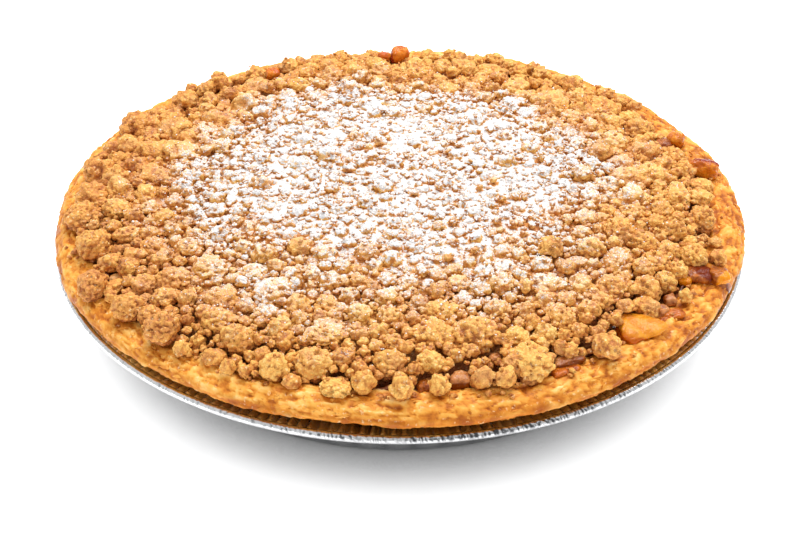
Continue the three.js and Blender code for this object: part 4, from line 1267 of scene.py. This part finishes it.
def make_heap():
    rows = lay_crumbs()
    size = rows[:, 3:6].mean(1)
    near = rows[:, 1] < -10
    giant = rows[near & (size >= 4.9)]
    big = rows[near & (size >= 3.9) & (size < 4.9)]
    far = rows[~near & (size >= 3.9)]
    large = rows[(size >= 2.9) & (size < 3.9)]
    mid = rows[(size >= 2.0) & (size < 2.9)]
    small = rows[(size >= 1.35) & (size < 2.0)]
    tiny = rows[size < 1.35]
    print("crumbs", len(giant), len(big), len(far), len(large), len(mid), len(small), len(tiny))
    g = np.random.default_rng(77)
    p6, f6 = prototypes(14, 1300, 20, -0.9, 6, 270, 0.122, 650)
    p5, f5 = prototypes(22, 500, 14, -0.86, 5, 150, 0.160, 600)
    p5b, f5b = prototypes(22, 360, 12, -0.80, 5, 110, 0.185, 620)
    p4, f4 = prototypes(22, 232, 12, -0.75, 4, 76, 0.218, 700)
    p3, f3 = prototypes(20, 100, 9, -0.6, 3, 38, 0.295, 800)
    p2, f2 = prototypes(16, 42, 7, -0.4, 3, 19, 0.39, 900)
    p1, f1 = prototypes(12, 16, 5, -0.1, 2, 9, 0.48, 950)
    sets = {
        "crumbs_largest": clump(giant, p6, f6, g),
        "crumbs_big": clump(big, p5, f5, g),
        "crumbs_far": clump(far, p5b, f5b, g),
        "crumbs_large": clump(large, p4, f4, g),
        "crumbs_middling": clump(mid, p3, f3, g),
        "crumbs_small": clump(small, p2, f2, g),
        "crumbs_tiny": clump(tiny, p1, f1, g),
    }
    core_v, core_f, core_painted_relief_shade, core_painted_gap_shade = make_core()
    sky = Sky()
    for v, *_ in sets.values():
        sky.add(v)
    sky.add(core_v)

    # loose grains lie on what is there already
    n = 2900
    rad = np.sqrt(np.r_[g.uniform(0, 113.0**2, 1700), g.uniform(0, 76.0**2, 1200)])
    a = g.uniform(-np.pi, np.pi, n)
    x, y = rad * np.cos(a), rad * np.sin(a)
    i, j = sky.index(np.stack([x, y], 1))
    z = sky.h[i, j]
    keep = (z > 38) & (rad < foot(a) - bare(a) + 1.0)
    grain_r = g.uniform(0.45, 1.05, n)
    took = g.uniform(0.15, 1.0, n)
    grain_rows = np.stack([x, y, z + grain_r * 0.15, grain_r, grain_r * 0.9, grain_r * 0.8, took], 1)[keep]
    p0, f0 = prototypes(8, 9, 3, -0.3, 2, 5, 0.5, 970)
    # a few have rolled on to the pastry rim
    n = 150
    a = g.uniform(-np.pi, np.pi, n)
    rad = foot(a) - 0.5 + np.abs(g.normal(size=n)) * 2.6
    roll_r = g.uniform(0.5, 1.0, n) * np.where(g.uniform(size=n) < 0.2, 1.6, 1.0)
    rolled = np.stack([rad * np.cos(a), rad * np.sin(a), rest(rad) + roll_r * 0.55, roll_r * 1.15, roll_r, roll_r * 0.8, np.ones(n)], 1)[rad < 119.5]
    sets["crumb_grains"] = clump(np.vstack([grain_rows, rolled]), p0, f0, g, 2.0)

    mat = crumb_material("streusel")
    made = []
    for name, (v, f, painted_relief_shade, tone, share) in sets.items():
        dust = dusting(v[:, 0], v[:, 1]) * sky.open(v) * share
        if name == "crumbs_largest":
            tone = tone * 0.55
        # Painted shade: the crumbs towards the left are painted darker.
        tone = tone - 0.45 * step(-v[:, 0], 55, 95)
        # deep: painted shade where a point lies below the tops around it.
        o = make_mesh(name, v, f, {"painted_relief_shade": painted_relief_shade, "tone": tone, "dust": dust, "deep": step(sky.below(v), 0.6, 4.2)})
        o.data.materials.append(mat)
        made.append(o)
    dust = dusting(core_v[:, 0], core_v[:, 1]) * sky.open(core_v)
    core = make_mesh("crumb_core", core_v, core_f, {"painted_relief_shade": core_painted_relief_shade, "tone": np.full(len(core_v), 0.4), "dust": dust, "deep": core_painted_gap_shade})
    core.data.materials.append(mat)
    made.append(core)

    # specks of sugar
    n = 7600
    rad, a = np.sqrt(g.uniform(0, 100.0**2, n)), g.uniform(-np.pi, np.pi, n)
    x, y = rad * np.cos(a), rad * np.sin(a) - 6.0
    amount = dusting(x, y)
    at = sky.index(np.stack([x, y], 1))
    keep = (g.uniform(size=n) < np.clip(amount * 0.9 + 0.035 * (np.hypot(x, y + 10) < 96), 0, 1)) & (sky.h[at] > 42)
    x, y = x[keep], y[keep]
    i, j = sky.index(np.stack([x, y], 1))
    size = g.uniform(0.18, 0.42, len(x)) * np.where(g.uniform(size=len(x)) < 0.08, 1.5, 1.0)
    speck_rows = np.stack([x, y, sky.h[i, j] + size * 0.2, size, size, size * 0.8], 1)
    ov = np.array([(1, 0, 0), (-1, 0, 0), (0, 1, 0), (0, -1, 0), (0, 0, 1), (0, 0, -1)], dtype=float)
    of = np.array([(0, 2, 4), (2, 1, 4), (1, 3, 4), (3, 0, 4), (2, 0, 5), (1, 2, 5), (3, 1, 5), (0, 3, 5)], dtype=np.int32)
    v, f, *_ = clump(speck_rows, [(ov, np.zeros(6))], of, g)
    specks = make_mesh("sugar_specks", v, f)
    specks.data.materials.append(sugar_material())
    made.append(specks)
    for o in made:
        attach(o, "root")
        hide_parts("crumb_topping")
    return made


# ---------------------------------------------------------------- build
pan_mat = pan_material()
for piece in (make_pan(), make_bead()):
    piece.data.materials.append(pan_mat)
    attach(piece, "root")
    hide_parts("foil_pan")

crust_mat = crust_material()
for piece in make_crust():
    piece.data.materials.append(crust_mat)
    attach(piece, "root")
    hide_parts("pastry_crust")

fill_mat = filling_material()
filling = make_filling()
filling.data.materials.append(fill_mat)
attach(filling, "root")
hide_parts("apple_filling")

syrup = make_syrup_run()
syrup.data.materials.append(syrup_material())
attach(syrup, "root")

make_apples()
for piece in make_bits():
    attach(piece, "root")
make_heap()

# ---------------------------------------------------------------- floor, light
floor_v = np.array([(-1500, -1500, -0.4), (1500, -1500, -0.4), (1500, 1500, -0.4), (-1500, 1500, -0.4)], dtype=float)
floor = make_mesh("floor", floor_v, np.array([(0, 1, 2, 3)]), smooth=False)
fm = Mat("floor_painted_shadow")
# The floor is painted darker where the pan shelters it, a painted contact shadow, and glows where it is open, painted
# light added to the lamps.
shelter = fm.t.nodes.new("ShaderNodeAmbientOcclusion")
shelter.samples = 12
shelter.inputs["Distance"].default_value = 0.05
open_sky = shelter.outputs["AO"]
fm.set(Base_Color=fm.mix(fm.span(open_sky, 0.05, 0.34), (0.41, 0.41, 0.41), (0.94, 0.94, 0.94)), Roughness=0.9, Specular_IOR_Level=0.1)
fm.set(Emission_Color=(1, 1, 1, 1), Emission_Strength=fm.span(open_sky, 0.12, 0.50, 0.0, 0.60))
floor.data.materials.append(fm.m)


def area(name, at, size, energy, toward=(0, 0, 0.03), colour=(1, 1, 1)):
    data = bpy.data.lights.new(name, "AREA")
    data.shape = "RECTANGLE"
    data.size, data.size_y = size
    data.energy = energy
    data.color = colour
    o = bpy.data.objects.new(name, data)
    bpy.context.scene.collection.objects.link(o)
    o.location = at
    o.rotation_euler = (Vector(toward) - Vector(at)).to_track_quat("-Z", "Y").to_euler()
    return o


area("overhead", (0.16, 0.46, 1.20), (0.85, 0.70), 16.5)

world = bpy.data.worlds.new("studio")
world.use_nodes = True
world.node_tree.nodes["Background"].inputs[0].default_value = (1, 1, 1, 1)
world.node_tree.nodes["Background"].inputs[1].default_value = 0.88
scene = bpy.context.scene
scene.world = world
scene.view_settings.view_transform = "Standard"
scene.view_settings.look = "None"
scene.view_settings.exposure = 0.0
scene.view_settings.gamma = 1.0
